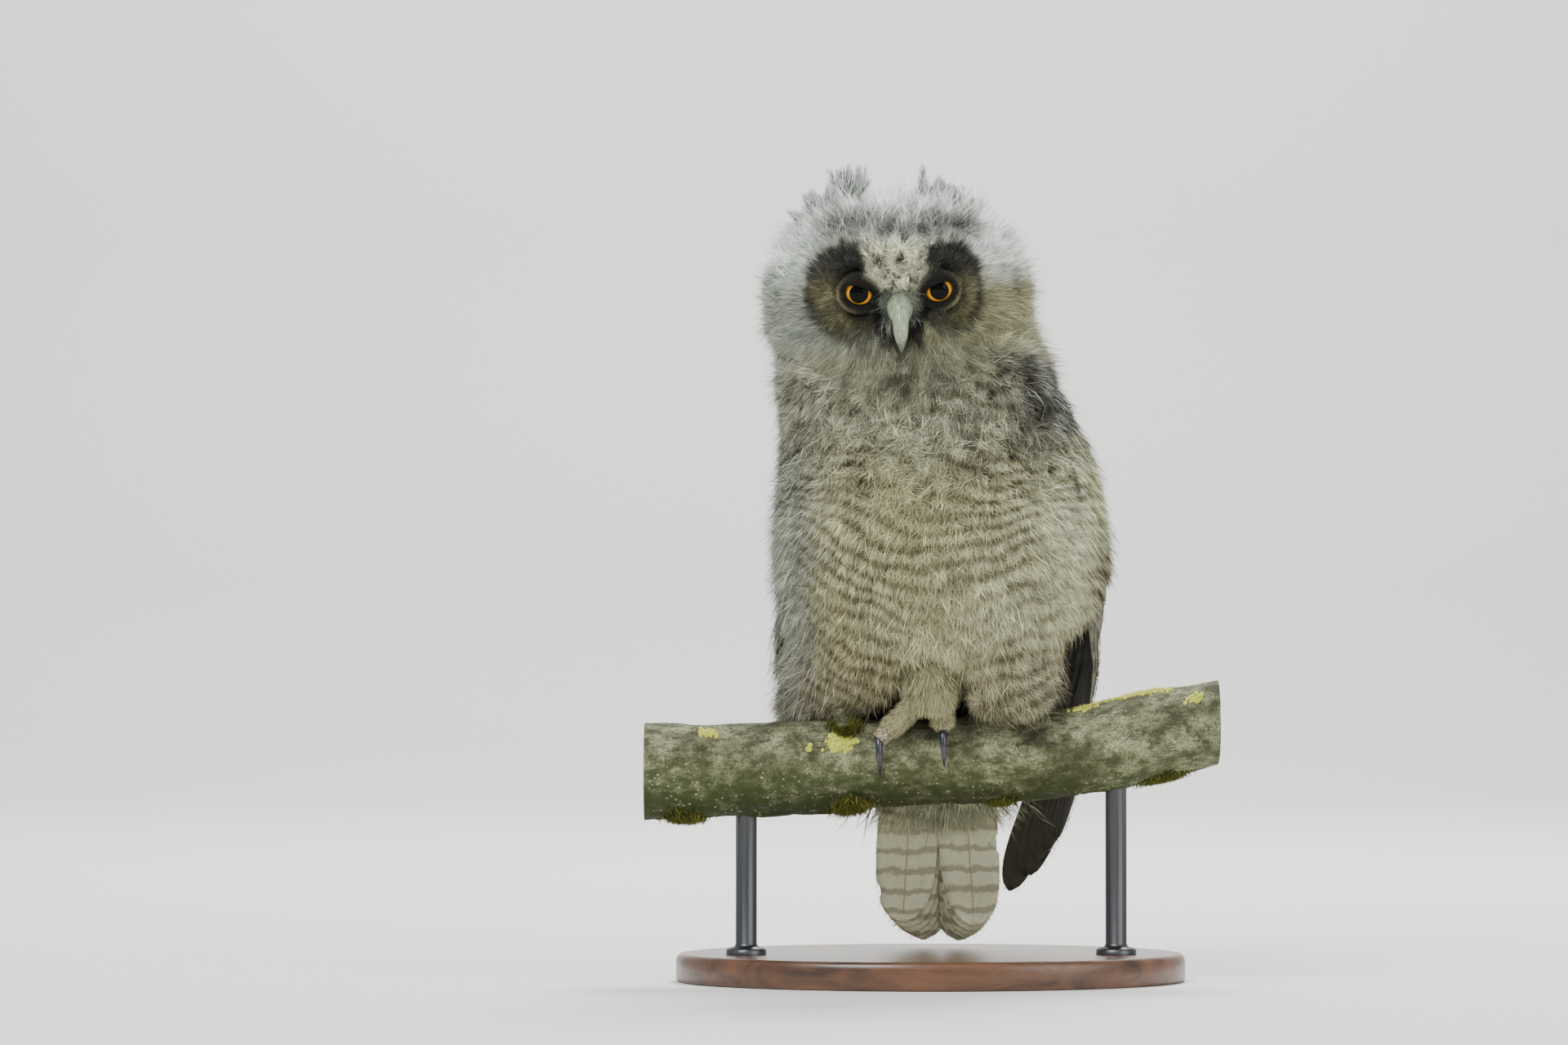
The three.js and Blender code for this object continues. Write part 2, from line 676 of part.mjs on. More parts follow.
function standBase() {
  const { wide, deep, thick, edge } = BASE;
  const rim = [[0, 0], [wide - 1, 0], [wide, 1.2], [wide, thick - edge], [wide - edge * 0.35, thick - 0.8], [wide - edge, thick], [0, thick]];
  const profile = rim.map(([x, y]) => new THREE.Vector2(x, y));
  return new THREE.LatheGeometry(profile, 28).rotateX(PI / 2).scale(1, deep / wide, 1);
}

function standRod(x) {
  const [height] = perch(x);
  const length = height - BASE.thick - GAP;
  return solid(
    new THREE.CylinderGeometry(ROD.radius, ROD.radius, length, 16)
      .rotateX(PI / 2)
      .translate(x, PERCH.y, BASE.thick + GAP + length / 2),
  );
}

// Assembly

const finish = {
  down: new THREE.MeshStandardMaterial({ color: 0x8d8473, roughness: 0.95, metalness: 0 }),
  feather: new THREE.MeshStandardMaterial({ color: 0x8b8070, roughness: 0.8, metalness: 0 }),
  footDown: new THREE.MeshStandardMaterial({ color: 0xbfa983, roughness: 0.9, metalness: 0 }),
  eye: new THREE.MeshStandardMaterial({ color: 0xc9820f, roughness: 0.05, metalness: 0 }),
  bill: new THREE.MeshStandardMaterial({ color: 0x8f9480, roughness: 0.35, metalness: 0 }),
  claw: new THREE.MeshStandardMaterial({ color: 0x353a44, roughness: 0.3, metalness: 0 }),
  bark: new THREE.MeshStandardMaterial({ color: 0x5f5c46, roughness: 0.95, metalness: 0 }),
  wood: new THREE.MeshStandardMaterial({ color: 0x4a3426, roughness: 0.45, metalness: 0 }),
  steel: new THREE.MeshStandardMaterial({ color: 0x3a3b3d, roughness: 0.35, metalness: 1 }),
};

const owl = new THREE.Group();

function add(name, made, material) {
  const mesh = new THREE.Mesh(made.isBufferGeometry ? made : geometryOf(largest(made)), material);
  mesh.name = name;
  owl.add(mesh);
}

const sideName = { [LEFT]: "left", [RIGHT]: "right" };
const sides = [LEFT, RIGHT];
const whole = wholeBody();
const wholeGrown = wholeBody(GAP);
const perchGrown = perchSolid(GAP);
const footGrown = footForm(GAP);
const billGrown = billForm(GAP);
const sockets = sides.map((side) => solid(eyeForm(side, GAP)));
const openings = sides.map((side) => solid(lidOpening(side)));
const rump = solid(ovalForm(RUMP_ROWS, 18, 7));
const rumpGrown = solid(ovalForm(RUMP_ROWS, 18, 7, GAP));
const tail = tailFan();
const tailGap = tailSlot();

const lowerBill = solid(inHead(limb(LOWER_BILL, 10, 6)));
const lowerBillGrown = solid(inHead(limb(LOWER_BILL, 10, 6, GAP)));
const head = whole
  .intersect(slice(NECK_TOP + GAP / 2, 400))
  .subtract(joined([...sockets, ...openings, billGrown, lowerBillGrown]))
  .add(joined(sides.map(lidForm)).subtract(joined([...sockets, ...openings])));
add("head", head.subtract(billGrown), finish.down);
add("neck", whole.intersect(slice(NECK_BOTTOM + GAP / 2, NECK_TOP - GAP / 2)), finish.down);

const belly = whole.intersect(slice(0, NECK_BOTTOM - GAP / 2));
const partings = PARTINGS.map(({ at, size }) => solid(egg(at, size, 14, 9)));
const socket = solid(egg(FIST.socket.at, FIST.socket.size, 12, 8)).add(solid(limb(FIST.shank, 8, 2, GAP)));
const underside = [footGrown, perchGrown, socket, ...partings];
const thighEggs = sides.map((side) => solid(egg(THIGHS[side].at, THIGHS[side].size, 14, 9)));
const thighGaps = sides.map((side) => solid(egg(THIGHS[side].at, THIGHS[side].size, 14, 9, GAP)));
add("torso", belly.subtract(joined([...underside, ...thighGaps, tailGap])), finish.down);

sides.forEach((side) => {
  const name = sideName[side];
  const thigh = belly.intersect(thighEggs[(1 - side) / 2]).subtract(joined(underside));
  add(`eye_${name}`, solid(eyeForm(side)), finish.eye);
  add(`ear_tuft_${name}`, tuft(side).subtract(wholeGrown), finish.down);
  add(`wing_${name}`, wing(side).subtract(joined([wholeGrown, rumpGrown])), finish.feather);
  add(`thigh_${name}`, thigh, finish.down);
});

add("bill_upper", upperBill(), finish.bill);
add("bill_lower", lowerBill.subtract(billGrown), finish.bill);

add("tail", tail, finish.feather);
add("tail_coverts", rump.subtract(joined([wholeGrown, tailGap])), finish.down);

add("foot_right", footForm().subtract(perchGrown), finish.footDown);
for (const [name, toe] of Object.entries(TOES)) {
  const claw = clawForm(toe).subtract(perchGrown);
  const others = [footGrown, perchGrown, clawForm(toe, GAP)];
  add(name, toeForm(toe).subtract(joined(others)), finish.footDown);
  add(name.replace("toe", "claw"), claw, finish.claw);
}

[-1, 0, 1].forEach((place) => {
  const claw = fistLimb(place, FIST.claw, FIST.clawHalf, 6, 4).subtract(perchGrown);
  add(`claw_left_${place + 2}`, claw, finish.claw);
});
const fistClaws = [-1, 0, 1].map((place) => fistLimb(place, FIST.claw, FIST.clawHalf, 6, 4, GAP));
add("foot_left", fistForm().subtract(joined([perchGrown, ...fistClaws])), finish.footDown);

add("perch", perchSolid(), finish.bark);
add("stand_base", standBase(), finish.wood);
[-ROD.x, ROD.x].forEach((x, i) => {
  add(`stand_rod_${i ? "left" : "right"}`, standRod(x).subtract(perchGrown), finish.steel);
});

export default owl;
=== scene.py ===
"""A fledgling long-eared owl in grey down, standing on one foot on a cut length of branch that a
plain display stand holds. Metres, +Z up; the bird looks along -Y and its left side is at +X."""

import math

import bmesh
import bpy
import numpy as np
from mathutils import Matrix, Vector


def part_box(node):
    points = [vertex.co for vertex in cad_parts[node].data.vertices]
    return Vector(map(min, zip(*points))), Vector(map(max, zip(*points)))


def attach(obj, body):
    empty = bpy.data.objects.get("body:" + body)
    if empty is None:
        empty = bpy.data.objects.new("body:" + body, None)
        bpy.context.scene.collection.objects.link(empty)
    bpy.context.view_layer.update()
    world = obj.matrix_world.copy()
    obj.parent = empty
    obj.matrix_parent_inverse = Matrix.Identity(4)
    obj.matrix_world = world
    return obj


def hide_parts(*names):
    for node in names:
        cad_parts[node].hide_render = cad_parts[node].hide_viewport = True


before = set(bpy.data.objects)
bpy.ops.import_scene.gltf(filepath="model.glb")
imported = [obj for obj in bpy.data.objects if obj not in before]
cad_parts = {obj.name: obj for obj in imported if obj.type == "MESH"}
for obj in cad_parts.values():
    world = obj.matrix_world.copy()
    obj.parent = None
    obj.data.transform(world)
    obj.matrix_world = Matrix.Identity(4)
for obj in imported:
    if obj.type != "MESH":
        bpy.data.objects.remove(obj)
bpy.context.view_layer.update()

# Camera. A long lens that looks up very slightly from the bird's own height. The picture shows
# 0.662 m across at the bird.
SENSOR_WIDTH = 36
CAMERA_DISTANCE = 2.5
CAMERA_RISE = math.radians(-1.2)
PICTURE_WIDTH = 0.6624
PICTURE_CENTRE = Vector((-0.0621, -0.014, 0.1943))

lens = bpy.data.cameras.new("camera")
lens.sensor_width = SENSOR_WIDTH
lens.lens = SENSOR_WIDTH * CAMERA_DISTANCE / PICTURE_WIDTH
camera = bpy.data.objects.new("camera", lens)
away = Vector((0, -math.cos(CAMERA_RISE), math.sin(CAMERA_RISE)))
camera.location = PICTURE_CENTRE + away * CAMERA_DISTANCE
camera.rotation_euler = (-away).to_track_quat("-Z", "Y").to_euler()
bpy.context.collection.objects.link(camera)
bpy.context.scene.camera = camera

# Studio. A plain pale floor that sweeps up behind, a large soft light above and to the front, a
# weaker one on the other side, a rim light behind the crown and a light for the wall behind.
STUDIO_LIGHTS = [
    # name, place, what it is turned to, power, size
    ("key", (-0.9, -1.5, 1.9), (0, 0, 0.18), 46, 1.1),
    ("fill", (1.5, -1.3, 0.9), (0, 0, 0.18), 16, 1.6),
    ("rim", (0.3, 1.2, 1.9), (0, 0, 0.18), 58, 1.0),
    ("backdrop", (0.0, 2.2, 2.4), (0, 4.2, 0.5), 70, 1.6),
]
FLOOR_TONE = (0.87, 0.87, 0.84, 1)
# Depth and height along the floor, up to the top of the wall, and half its width.
FLOOR_SWEEP = [(-3.4, 0), (3, 0), (3.4, 0.04), (3.8, 0.2), (4.1, 0.6), (4.2, 1.4), (4.2, 4.2)]
FLOOR_HALF = 5.0
ROOM_TONE, ROOM_POWER = (0.93, 0.96, 1.0, 1), 0.62


class Socket:
    """A value inside a material, so that sums are written as plain expressions."""

    def __init__(self, finish, out):
        self.finish, self.out = finish, out

    def maths(self, operation, *values, clamp=False):
        inputs = dict(enumerate(values))
        settings = {"operation": operation, "use_clamp": clamp}
        return self.finish.add("ShaderNodeMath", settings, inputs)

    def apply(self, operation, *others):
        return self.maths(operation, self, *others)

    def __add__(self, other):
        return self.maths("ADD", self, other)

    def __sub__(self, other):
        return self.maths("SUBTRACT", self, other)

    def __rsub__(self, other):
        return self.maths("SUBTRACT", other, self)

    def __mul__(self, other):
        return self.maths("MULTIPLY", self, other)

    def __pow__(self, other):
        return self.maths("POWER", self, other)

    __radd__, __rmul__ = __add__, __mul__

    def fade(self, low, high):
        return self.maths("DIVIDE", self - low, high - low, clamp=True)


class Finish:
    """A material on one Principled shader; constants are set on the shader's own sockets."""

    def __init__(self, name, **constants):
        self.material = bpy.data.materials.new(name)
        self.material.use_nodes = True
        self.nodes, self.links = self.material.node_tree.nodes, self.material.node_tree.links
        self.shader = self.nodes["Principled BSDF"]
        for socket, value in constants.items():
            self.shader.inputs[socket.replace("_", " ")].default_value = value
        self.material.diffuse_color = self.shader.inputs["Base Color"].default_value

    def add(self, kind, settings, inputs, out=0):
        node = self.nodes.new(kind)
        for setting, value in settings.items():
            if setting == "stops":
                for n, (at, colour) in enumerate(value):
                    stop = node.color_ramp.elements[n] if n < 2 else node.color_ramp.elements.new(at)
                    stop.position, stop.color = at, colour
            else:
                setattr(node, setting, value)
        for socket, value in inputs.items():
            if isinstance(value, Socket):
                self.links.new(value.out, node.inputs[socket])
            else:
                node.inputs[socket].default_value = value
        return Socket(self, node.outputs[out])

    def place(self, stretch=(1, 1, 1)):
        at = self.add("ShaderNodeTexCoord", {}, {}, "Object")
        return self.add("ShaderNodeMapping", {}, {"Vector": at, "Scale": stretch})

    def attribute(self, name, out):
        return self.add("ShaderNodeAttribute", {"attribute_name": name}, {}, out)

    def part(self, vector, number):
        """The x, y or z of a vector: number 0, 1 or 2."""
        return self.add("ShaderNodeSeparateXYZ", {}, {0: vector}, number)

    def noise(self, size, detail=3, rough=0.55, at=None, warp=0):
        inputs = {"Vector": at or self.place(), "Scale": 1 / size, "Detail": detail}
        return self.add("ShaderNodeTexNoise", {}, {**inputs, "Roughness": rough, "Distortion": warp})

    def blend(self, factor, low, high, kind="MIX"):
        settings = {"data_type": "RGBA", "blend_type": kind}
        return self.add("ShaderNodeMix", settings, {0: factor, 6: low, 7: high}, 2)

    def bump(self, height, distance, strength=1):
        inputs = {"Height": height, "Distance": distance, "Strength": strength}
        return self.add("ShaderNodeBump", {}, inputs)

    def feed(self, **sockets):
        for socket, value in sockets.items():
            self.links.new(value.out, self.shader.inputs[socket.replace("_", " ")])
        return self.material


def tone(red, green, blue):
    """A colour from its 0 to 255 values as a shader takes it."""
    part = [c / 255 for c in (red, green, blue)]
    return (*[c / 12.92 if c < 0.04045 else ((c + 0.055) / 1.055) ** 2.4 for c in part], 1)


def piece(name, points, faces, material, smooth=True):
    """A new mesh object at the origin. Faces are rows of corner numbers, all of one length."""
    mesh = bpy.data.meshes.new(name)
    faces = np.asarray(faces, np.int32)
    mesh.vertices.add(len(points))
    mesh.vertices.foreach_set("co", np.asarray(points, np.float32).ravel())
    mesh.loops.add(faces.size)
    mesh.loops.foreach_set("vertex_index", faces.ravel())
    mesh.polygons.add(len(faces))
    mesh.polygons.foreach_set("loop_start", np.arange(0, faces.size, faces.shape[1], dtype=np.int32))
    mesh.polygons.foreach_set("use_smooth", np.full(len(faces), smooth))
    mesh.update(calc_edges=True)
    mesh.materials.append(material)
    made = bpy.data.objects.new(name, mesh)
    bpy.context.collection.objects.link(made)
    return made


def moulded(name, points, faces, material, rounded=(3, 4)):
    """A new mesh object whose faces differ in length. Those with a number of corners that rounded
    holds are shaded smooth."""
    mesh = bpy.data.meshes.new(name)
    faces = [[int(corner) for corner in face] for face in faces]
    mesh.from_pydata([tuple(point) for point in points], [], faces)
    mesh.polygons.foreach_set("use_smooth", [len(face) in rounded for face in faces])
    mesh.materials.append(material)
    made = bpy.data.objects.new(name, mesh)
    bpy.context.collection.objects.link(made)
    return made


def sheet_faces(rows, columns, wrap=False, start=0):
    """The quads of a grid of points stored row by row; wrap joins its last column to its first."""
    row, column = np.meshgrid(np.arange(rows - 1), np.arange(columns - (not wrap)), indexing="ij")
    after = (column + 1) % columns
    here, above = row * columns, (row + 1) * columns
    corners = [here + column, here + after, above + after, above + column]
    return np.stack(corners, -1).reshape(-1, 4) + start


def unit(vectors, least=0.0):
    """Rows of numbers made into unit vectors. A small least keeps an empty row from failing."""
    return vectors / (np.linalg.norm(vectors, axis=1, keepdims=True) + least)


def full_turn(count):
    return np.linspace(0, 2 * np.pi, count, endpoint=False)


def stored(items, field, width=3, kind=float):
    """One field of all vertices, loops or triangles, a row for each."""
    values = np.empty(len(items) * width, kind)
    items.foreach_get(field, values)
    return values.reshape(-1, width)


def paint(made, colours):
    """Gives every point of a piece its colour, as the attribute plumage."""
    colours = np.asarray(colours).reshape(-1, 3)
    values = np.ones((len(colours), 4), np.float32)
    values[:, :3] = colours
    layer = made.data.color_attributes.new("plumage", "FLOAT_COLOR", "POINT")
    layer.data.foreach_set("color", values.ravel())


def mark(made, name, vectors):
    """Gives every point of a piece three numbers that its material reads by name."""
    values = np.asarray(vectors).astype(np.float32)
    layer = made.data.attributes.new(name, "FLOAT_VECTOR", "POINT")
    layer.data.foreach_set("vector", values.ravel())


def applied(made):
    """Makes an object's modifiers part of its mesh."""
    bpy.context.view_layer.update()
    graph = bpy.context.evaluated_depsgraph_get()
    mesh = bpy.data.meshes.new_from_object(made.evaluated_get(graph))
    made.modifiers.clear()
    made.data = mesh
    return mesh


floor_finish = Finish("studio floor", Base_Color=FLOOR_TONE, Roughness=0.9)
floor_points = [(x, y, z) for y, z in FLOOR_SWEEP for x in (-FLOOR_HALF, FLOOR_HALF)]
floor = piece("floor", floor_points, sheet_faces(len(FLOOR_SWEEP), 2), floor_finish.feed())

for name, place, aim, power, size in STUDIO_LIGHTS:
    light = bpy.data.lights.new(name, "AREA")
    light.shape, light.size, light.energy = "DISK", size, power
    lamp = bpy.data.objects.new(name, light)
    lamp.location = place
    lamp.rotation_euler = (Vector(aim) - Vector(place)).to_track_quat("-Z", "Y").to_euler()
    bpy.context.collection.objects.link(lamp)
world = bpy.data.worlds.new("soft room")
world.use_nodes = True
world.node_tree.nodes["Background"].inputs["Color"].default_value = ROOM_TONE
world.node_tree.nodes["Background"].inputs["Strength"].default_value = ROOM_POWER
bpy.context.scene.world = world

# Stand. A turned hardwood base with an eased edge, satin varnished, and two dark steel rods that
# are let into it and into the underside of the branch.
BASE_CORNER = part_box("stand_base")[1]
# Share of the radius and height, from the underside round the edge to the top.
BASE_EDGE = [
    (0.985, 0), (0.996, 0.0006), (1, 0.0016), (1, 0.0088), (0.994, 0.0107), (0.982, 0.0118),
    (0.965, 0.012),
]
AROUND_BASE = 160
AROUND_ROD = 40

wood = Finish("varnished walnut", Roughness=0.32, Coat_Weight=0.35, Coat_Roughness=0.18)
grain = wood.noise(0.012, 5, 0.6, wood.place((0.10, 1.0, 1.0)), 0.6)
pores = wood.noise(0.0016, 3, 0.7, wood.place((0.05, 1.0, 1.0)))
wood_tone = wood.blend(grain.fade(0.35, 0.68), tone(60, 37, 24), tone(112, 74, 47))
wood_tone = wood.blend(pores.fade(0.62, 0.75) * 0.6, wood_tone, tone(34, 21, 14))
wood.feed(Base_Color=wood_tone, Roughness=0.28 + grain * 0.16, Normal=wood.bump(pores, 0.0002, 0.5))

base_points = [
    (BASE_CORNER.x * share * math.cos(angle), BASE_CORNER.y * share * math.sin(angle), z)
    for share, z in BASE_EDGE
    for angle in full_turn(AROUND_BASE)
]
last = (len(BASE_EDGE) - 1) * AROUND_BASE
caps = [range(AROUND_BASE)[::-1], range(last, last + AROUND_BASE)]
base_faces = [*sheet_faces(len(BASE_EDGE), AROUND_BASE, wrap=True), *caps]
display_base = moulded("display_base", base_points, base_faces, wood.material, rounded=(4,))
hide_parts("stand_base")
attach(display_base, "root")

steel = Finish("blackened steel", Metallic=1.0, Roughness=0.34)
brushed = steel.noise(0.0011, 3, 0.6, steel.place((1, 1, 0.02)))
steel_tone = steel.blend(brushed, tone(70, 71, 73), tone(104, 105, 107))
steel.feed(Base_Color=steel_tone, Roughness=0.27 + brushed * 0.2)
for side in ("left", "right"):
    low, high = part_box(f"stand_rod_{side}")
    middle, radius = (low + high) / 2, (high.x - low.x) / 2
    # A rod widens to a low collar that is let a little into the base.
    profile = [
        (1.9, -0.0003), (1.9, 0.0016), (1.7, 0.0024), (1.15, 0.003), (1.0, 0.0042), (1.0, high.z - low.z),
    ]
    rod_points = [
        (middle.x + radius * share * math.cos(angle), middle.y + radius * share * math.sin(angle), low.z + z)
        for share, z in profile
        for angle in full_turn(AROUND_ROD)
    ]
    rod_faces = sheet_faces(len(profile), AROUND_ROD, wrap=True)
    rod = piece(f"rod_{side}", rod_points, rod_faces, steel.material)
    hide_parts(f"stand_rod_{side}")
    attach(rod, "root")

# Perch. A living branch cut square at both ends: brown-grey bark, greener below, with lenticels,
# a few knots, a side twig cut short, patches of yellow lichen and cushions of moss.
PERCH_Y = -0.014
PERCH_RADIUS = 0.019
# x, height of the middle and radius, in millimetres.
PERCH_MM = [(-121, 88.9, 19.8), (-62, 90.5, 19.7), (0, 93.8, 18.5), (55, 96.9, 18.8), (121, 109.8, 18.3)]
PERCH_ROWS = np.array(PERCH_MM) / 1000
ALONG_PERCH, AROUND_PERCH = 350, 144
GROWTH_END = 0.119
STUB = {
    "x": -0.034,
    "angle": math.radians(44),
    "radius": 0.0026,
    "length": 0.010,
    "lean": (-0.35, -0.4, 0.84),
}
STUB_DEPTH = 0.006
# x, angle from the top towards the viewer, spread along and around, number of lobes.
LICHENS = [
    (-0.0385, 57, 0.0062, 14, 190),
    (-0.0520, 66, 0.0016, 4, 9),
    (0.086, 10, 0.016, 6, 150),
    (0.064, 22, 0.005, 5, 40),
    (-0.094, 36, 0.004, 7, 40),
    (0.110, 48, 0.004, 6, 40),
    (0.004, 40, 0.002, 4, 12),
]
LOBE_RINGS, LOBE_AROUND = 3, 7
# x, angle, spread along and around, length, strands to each metre of spread.
MOSSES = [
    (-0.036, 28, 0.006, 14, 0.0042, 700000),
    (-0.036, 40, 0.004, 9, 0.0055, 700000),
    (-0.034, 152, 0.008, 16, 0.0045, 380000),
    (0.03, 165, 0.006, 12, 0.003, 380000),
    (-0.104, 160, 0.008, 18, 0.0035, 380000),
    (0.098, 172, 0.009, 16, 0.003, 380000),
]
MOSS_KEPT, MOSS_WIDTH = 1.0, 0.00042


def smooth(low, high, value):
    part = np.clip((value - low) / (high - low), 0, 1)
    return part * part * (3 - 2 * part)


def curve_through(rows, at):
    """Values of a smooth curve through rows of position, value, value, ... at many positions."""
    rows = np.asarray(rows, float)
    position, values = rows[:, 0], rows[:, 1:]
    before, after = np.r_[0, np.arange(len(rows) - 1)], np.r_[np.arange(1, len(rows)), len(rows) - 1]
    slope = (values[after] - values[before]) / (position[after] - position[before])[:, None]
    at = np.clip(np.asarray(at, float), position[0], position[-1])
    i = np.clip(np.searchsorted(position, at, side="right") - 1, 0, len(rows) - 2)
    step = (position[i + 1] - position[i])[..., None]
    t = (at - position[i])[..., None] / step
    a, b = values[i], values[i + 1]
    smooth_part = (2 * t**3 - 3 * t**2 + 1) * a + (3 * t**2 - 2 * t**3) * b
    return smooth_part + step * ((t**3 - 2 * t**2 + t) * slope[i] + (t**3 - t**2) * slope[i + 1])


def clouds(points, size, seed=0):
    """Smooth noise from -1 to 1 at many points, its features about size across."""
    scaled = np.asarray(points, float) / size
    cell = np.floor(scaled).astype(np.int64)
    part = scaled - cell
    part = part * part * (3 - 2 * part)
    total = np.zeros(len(scaled))
    for corner in np.ndindex(2, 2, 2):
        x, y, z = (cell + corner).T
        mixed = (x * 73856093) ^ (y * 19349663) ^ (z * 83492791) ^ (seed * 2654435761)
        mixed = ((mixed ^ (mixed >> 13)) * 1274126177) & 0xFFFFFFFF
        value = ((mixed ^ (mixed >> 16)) & 0xFFFF) / 32767.5 - 1
        weight = np.prod(np.where(np.array(corner) == 1, part, 1 - part), axis=1)
        total += value * weight
    return total


def perch_point(x, angle, lift=0.0):
    """Points by the perch: angle is from its top towards the viewer, lift is above the bark."""
    height, radius = np.moveaxis(curve_through(PERCH_ROWS, x), -1, 0)
    far = radius + lift
    return np.stack([x + 0 * far, PERCH_Y - far * np.sin(angle), height + far * np.cos(angle)], -1)


def bark_relief(x, angle):
    """The slow swellings of the branch, alike on the solid underneath, in metres."""
    x, angle = x * 1000, np.where(angle > np.pi, angle - 2 * np.pi, np.abs(angle))
    calm = 1 - 0.8 * np.exp(-((x / 26) ** 2))
    waves = np.sin(x * 0.09 + 2 * np.sin(angle)) + 0.6 * np.sin(x * 0.21 + 3 * angle + 1)
    right_knot = 2.4 * np.exp(-((x + 98) ** 2 + (20 * (angle - 2.4)) ** 2) / 121)
    left_knot = 2 * np.exp(-((x - 92) ** 2 + (20 * (angle - 1.9)) ** 2) / 81)
    return (0.55 * calm * waves + (right_knot + left_knot)) / 1000


def bark_surface(x, angle):
    """The finished bark: swellings, long shallow furrows, lenticels and grit."""
    flat = np.stack([x, PERCH_RADIUS * np.cos(angle), PERCH_RADIUS * np.sin(angle)], -1).reshape(-1, 3)
    furrows = clouds(flat * (0.28, 1, 1), 0.0042, 3)
    cracks = np.clip(np.abs(clouds(flat * (0.16, 1, 1), 0.0027, 5)) - 0.12, -0.12, 0.2)
    grit = clouds(flat, 0.0011, 9) * 0.5 + clouds(flat, 0.0023, 11)
    speck = clouds(flat * (1, 0.45, 0.45), 0.0028, 17)
    lenticel = smooth(0.52, 0.8, speck) * 0.00042
    fine = 0.00045 * furrows + 0.0011 * cracks + 0.00012 * grit + lenticel
    worn = 1 - 0.65 * np.exp(-((flat[:, 0] / 0.03) ** 2)) * (np.cos(angle).reshape(-1) > -0.2)
    return bark_relief(x, angle) + (fine * worn).reshape(np.shape(angle)) - 0.0001


bark = Finish("mossy bark", Roughness=0.93)
patch = bark.noise(0.013, 5, 0.62)
blotch = bark.noise(0.0040, 4, 0.65, bark.place((0.6, 1, 1)))
fibre = bark.noise(0.0016, 4, 0.7, bark.place((0.35, 1, 1)))
grain = bark.noise(0.00075, 3, 0.7)
height_z = bark.part(bark.place(), 2)
wart_inputs = {"Vector": bark.place(), "Scale": 400.0, "Randomness": 1.0}
warts = bark.add("ShaderNodeTexVoronoi", {"feature": "F1"}, wart_inputs)
bark_tone = bark.blend(patch.fade(0.36, 0.62), tone(78, 80, 52), tone(158, 162, 124))
bark_tone = bark.blend(blotch.fade(0.46, 0.62) * 0.8, bark_tone, tone(58, 57, 36))
bark_tone = bark.blend((1 - blotch).fade(0.58, 0.74) * 0.35, bark_tone, tone(158, 162, 130))
bark_tone = bark.blend(fibre.fade(0.45, 0.75) * 0.6, bark_tone, tone(52, 47, 32))
bark_tone = bark.blend(grain.fade(0.50, 0.60) * 0.7, bark_tone, tone(34, 33, 22))
film = (1 - height_z.fade(0.076, 0.100)) * (0.65 + patch * 0.9) * (1 - fibre.fade(0.5, 0.8) * 0.5)
algae = (blotch.fade(0.30, 0.52) * film).apply("MINIMUM", 0.92)
bark_tone = bark.blend(algae, bark_tone, tone(58, 70, 12))
# Darker towards the bottom of the branch.
bark_tone = bark.blend((1 - height_z.fade(0.070, 0.094)) * 0.62, bark_tone, tone(26, 30, 8))
dots = (1 - warts.fade(0.10, 0.24)) * grain.fade(0.36, 0.5) * patch.fade(0.40, 0.56)
bark_tone = bark.blend(dots * 0.85, bark_tone, tone(190, 188, 158))
bark_normal = bark.bump(fibre * 0.7 + grain * 0.5 + blotch * 0.6 + dots * 0.3, 0.0007, 0.85)
bark.feed(Base_Color=bark_tone, Normal=bark_normal, Roughness=0.98 - patch * 0.2)

station = np.linspace(PERCH_ROWS[0, 0], PERCH_ROWS[-1, 0], ALONG_PERCH)
x_grid, angle_grid = np.meshgrid(station, full_turn(AROUND_PERCH), indexing="ij")
bark_points = perch_point(x_grid, angle_grid, bark_surface(x_grid, angle_grid))
branch_faces = sheet_faces(ALONG_PERCH, AROUND_PERCH, wrap=True)
branch = piece("branch", bark_points.reshape(-1, 3), branch_faces, bark.material)

cut_wood = Finish("sawn end grain", Roughness=0.75)
ring_waves = cut_wood.noise(0.008, 3, 0.5, cut_wood.place((0, 1, 1)))
saw_marks = cut_wood.noise(0.0009, 2, 0.5, cut_wood.place((0, 0.15, 1)))
end_tone = cut_wood.blend(ring_waves.fade(0.35, 0.65), tone(164, 132, 92), tone(196, 168, 126))
end_tone = cut_wood.blend(saw_marks.fade(0.5, 0.7) * 0.5, end_tone, tone(126, 96, 62))
cut_wood.feed(Base_Color=end_tone, Normal=cut_wood.bump(saw_marks, 0.0002, 0.6))
END_RINGS, RING_DEPTH = 14, 0.00012
for name, row, out in (("right", 0, -1), ("left", -1, 1)):
    outline = bark_points[row]
    x = PERCH_ROWS[row, 0]
    centre = np.array([x, PERCH_Y, curve_through(PERCH_ROWS, np.array([x]))[0, 0]])
    shares = np.linspace(1, 0, END_RINGS)[:-1]
    disc = [centre + (outline - centre) * share for share in shares]
    for points, share in zip(disc, shares):
        swell = RING_DEPTH * math.sin(share * 62) * (0.15 < share < 0.97)
        points[:, 0] += out * (swell - RING_DEPTH)
    end_points = np.concatenate([*disc, [centre]])
    inner, after = np.arange(AROUND_PERCH) + (len(disc) - 1) * AROUND_PERCH, np.roll(range(AROUND_PERCH), -1)
    middle = np.stack([inner, inner[0] + after, np.full(AROUND_PERCH, len(end_points) - 1)], 1)
    faces = [*sheet_faces(len(disc), AROUND_PERCH, wrap=True), *middle]
    faces = [face[::-out] for face in faces]
    branch_end = moulded(f"branch_end_{name}", end_points, faces, cut_wood.material, rounded=())
    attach(branch_end, "root")


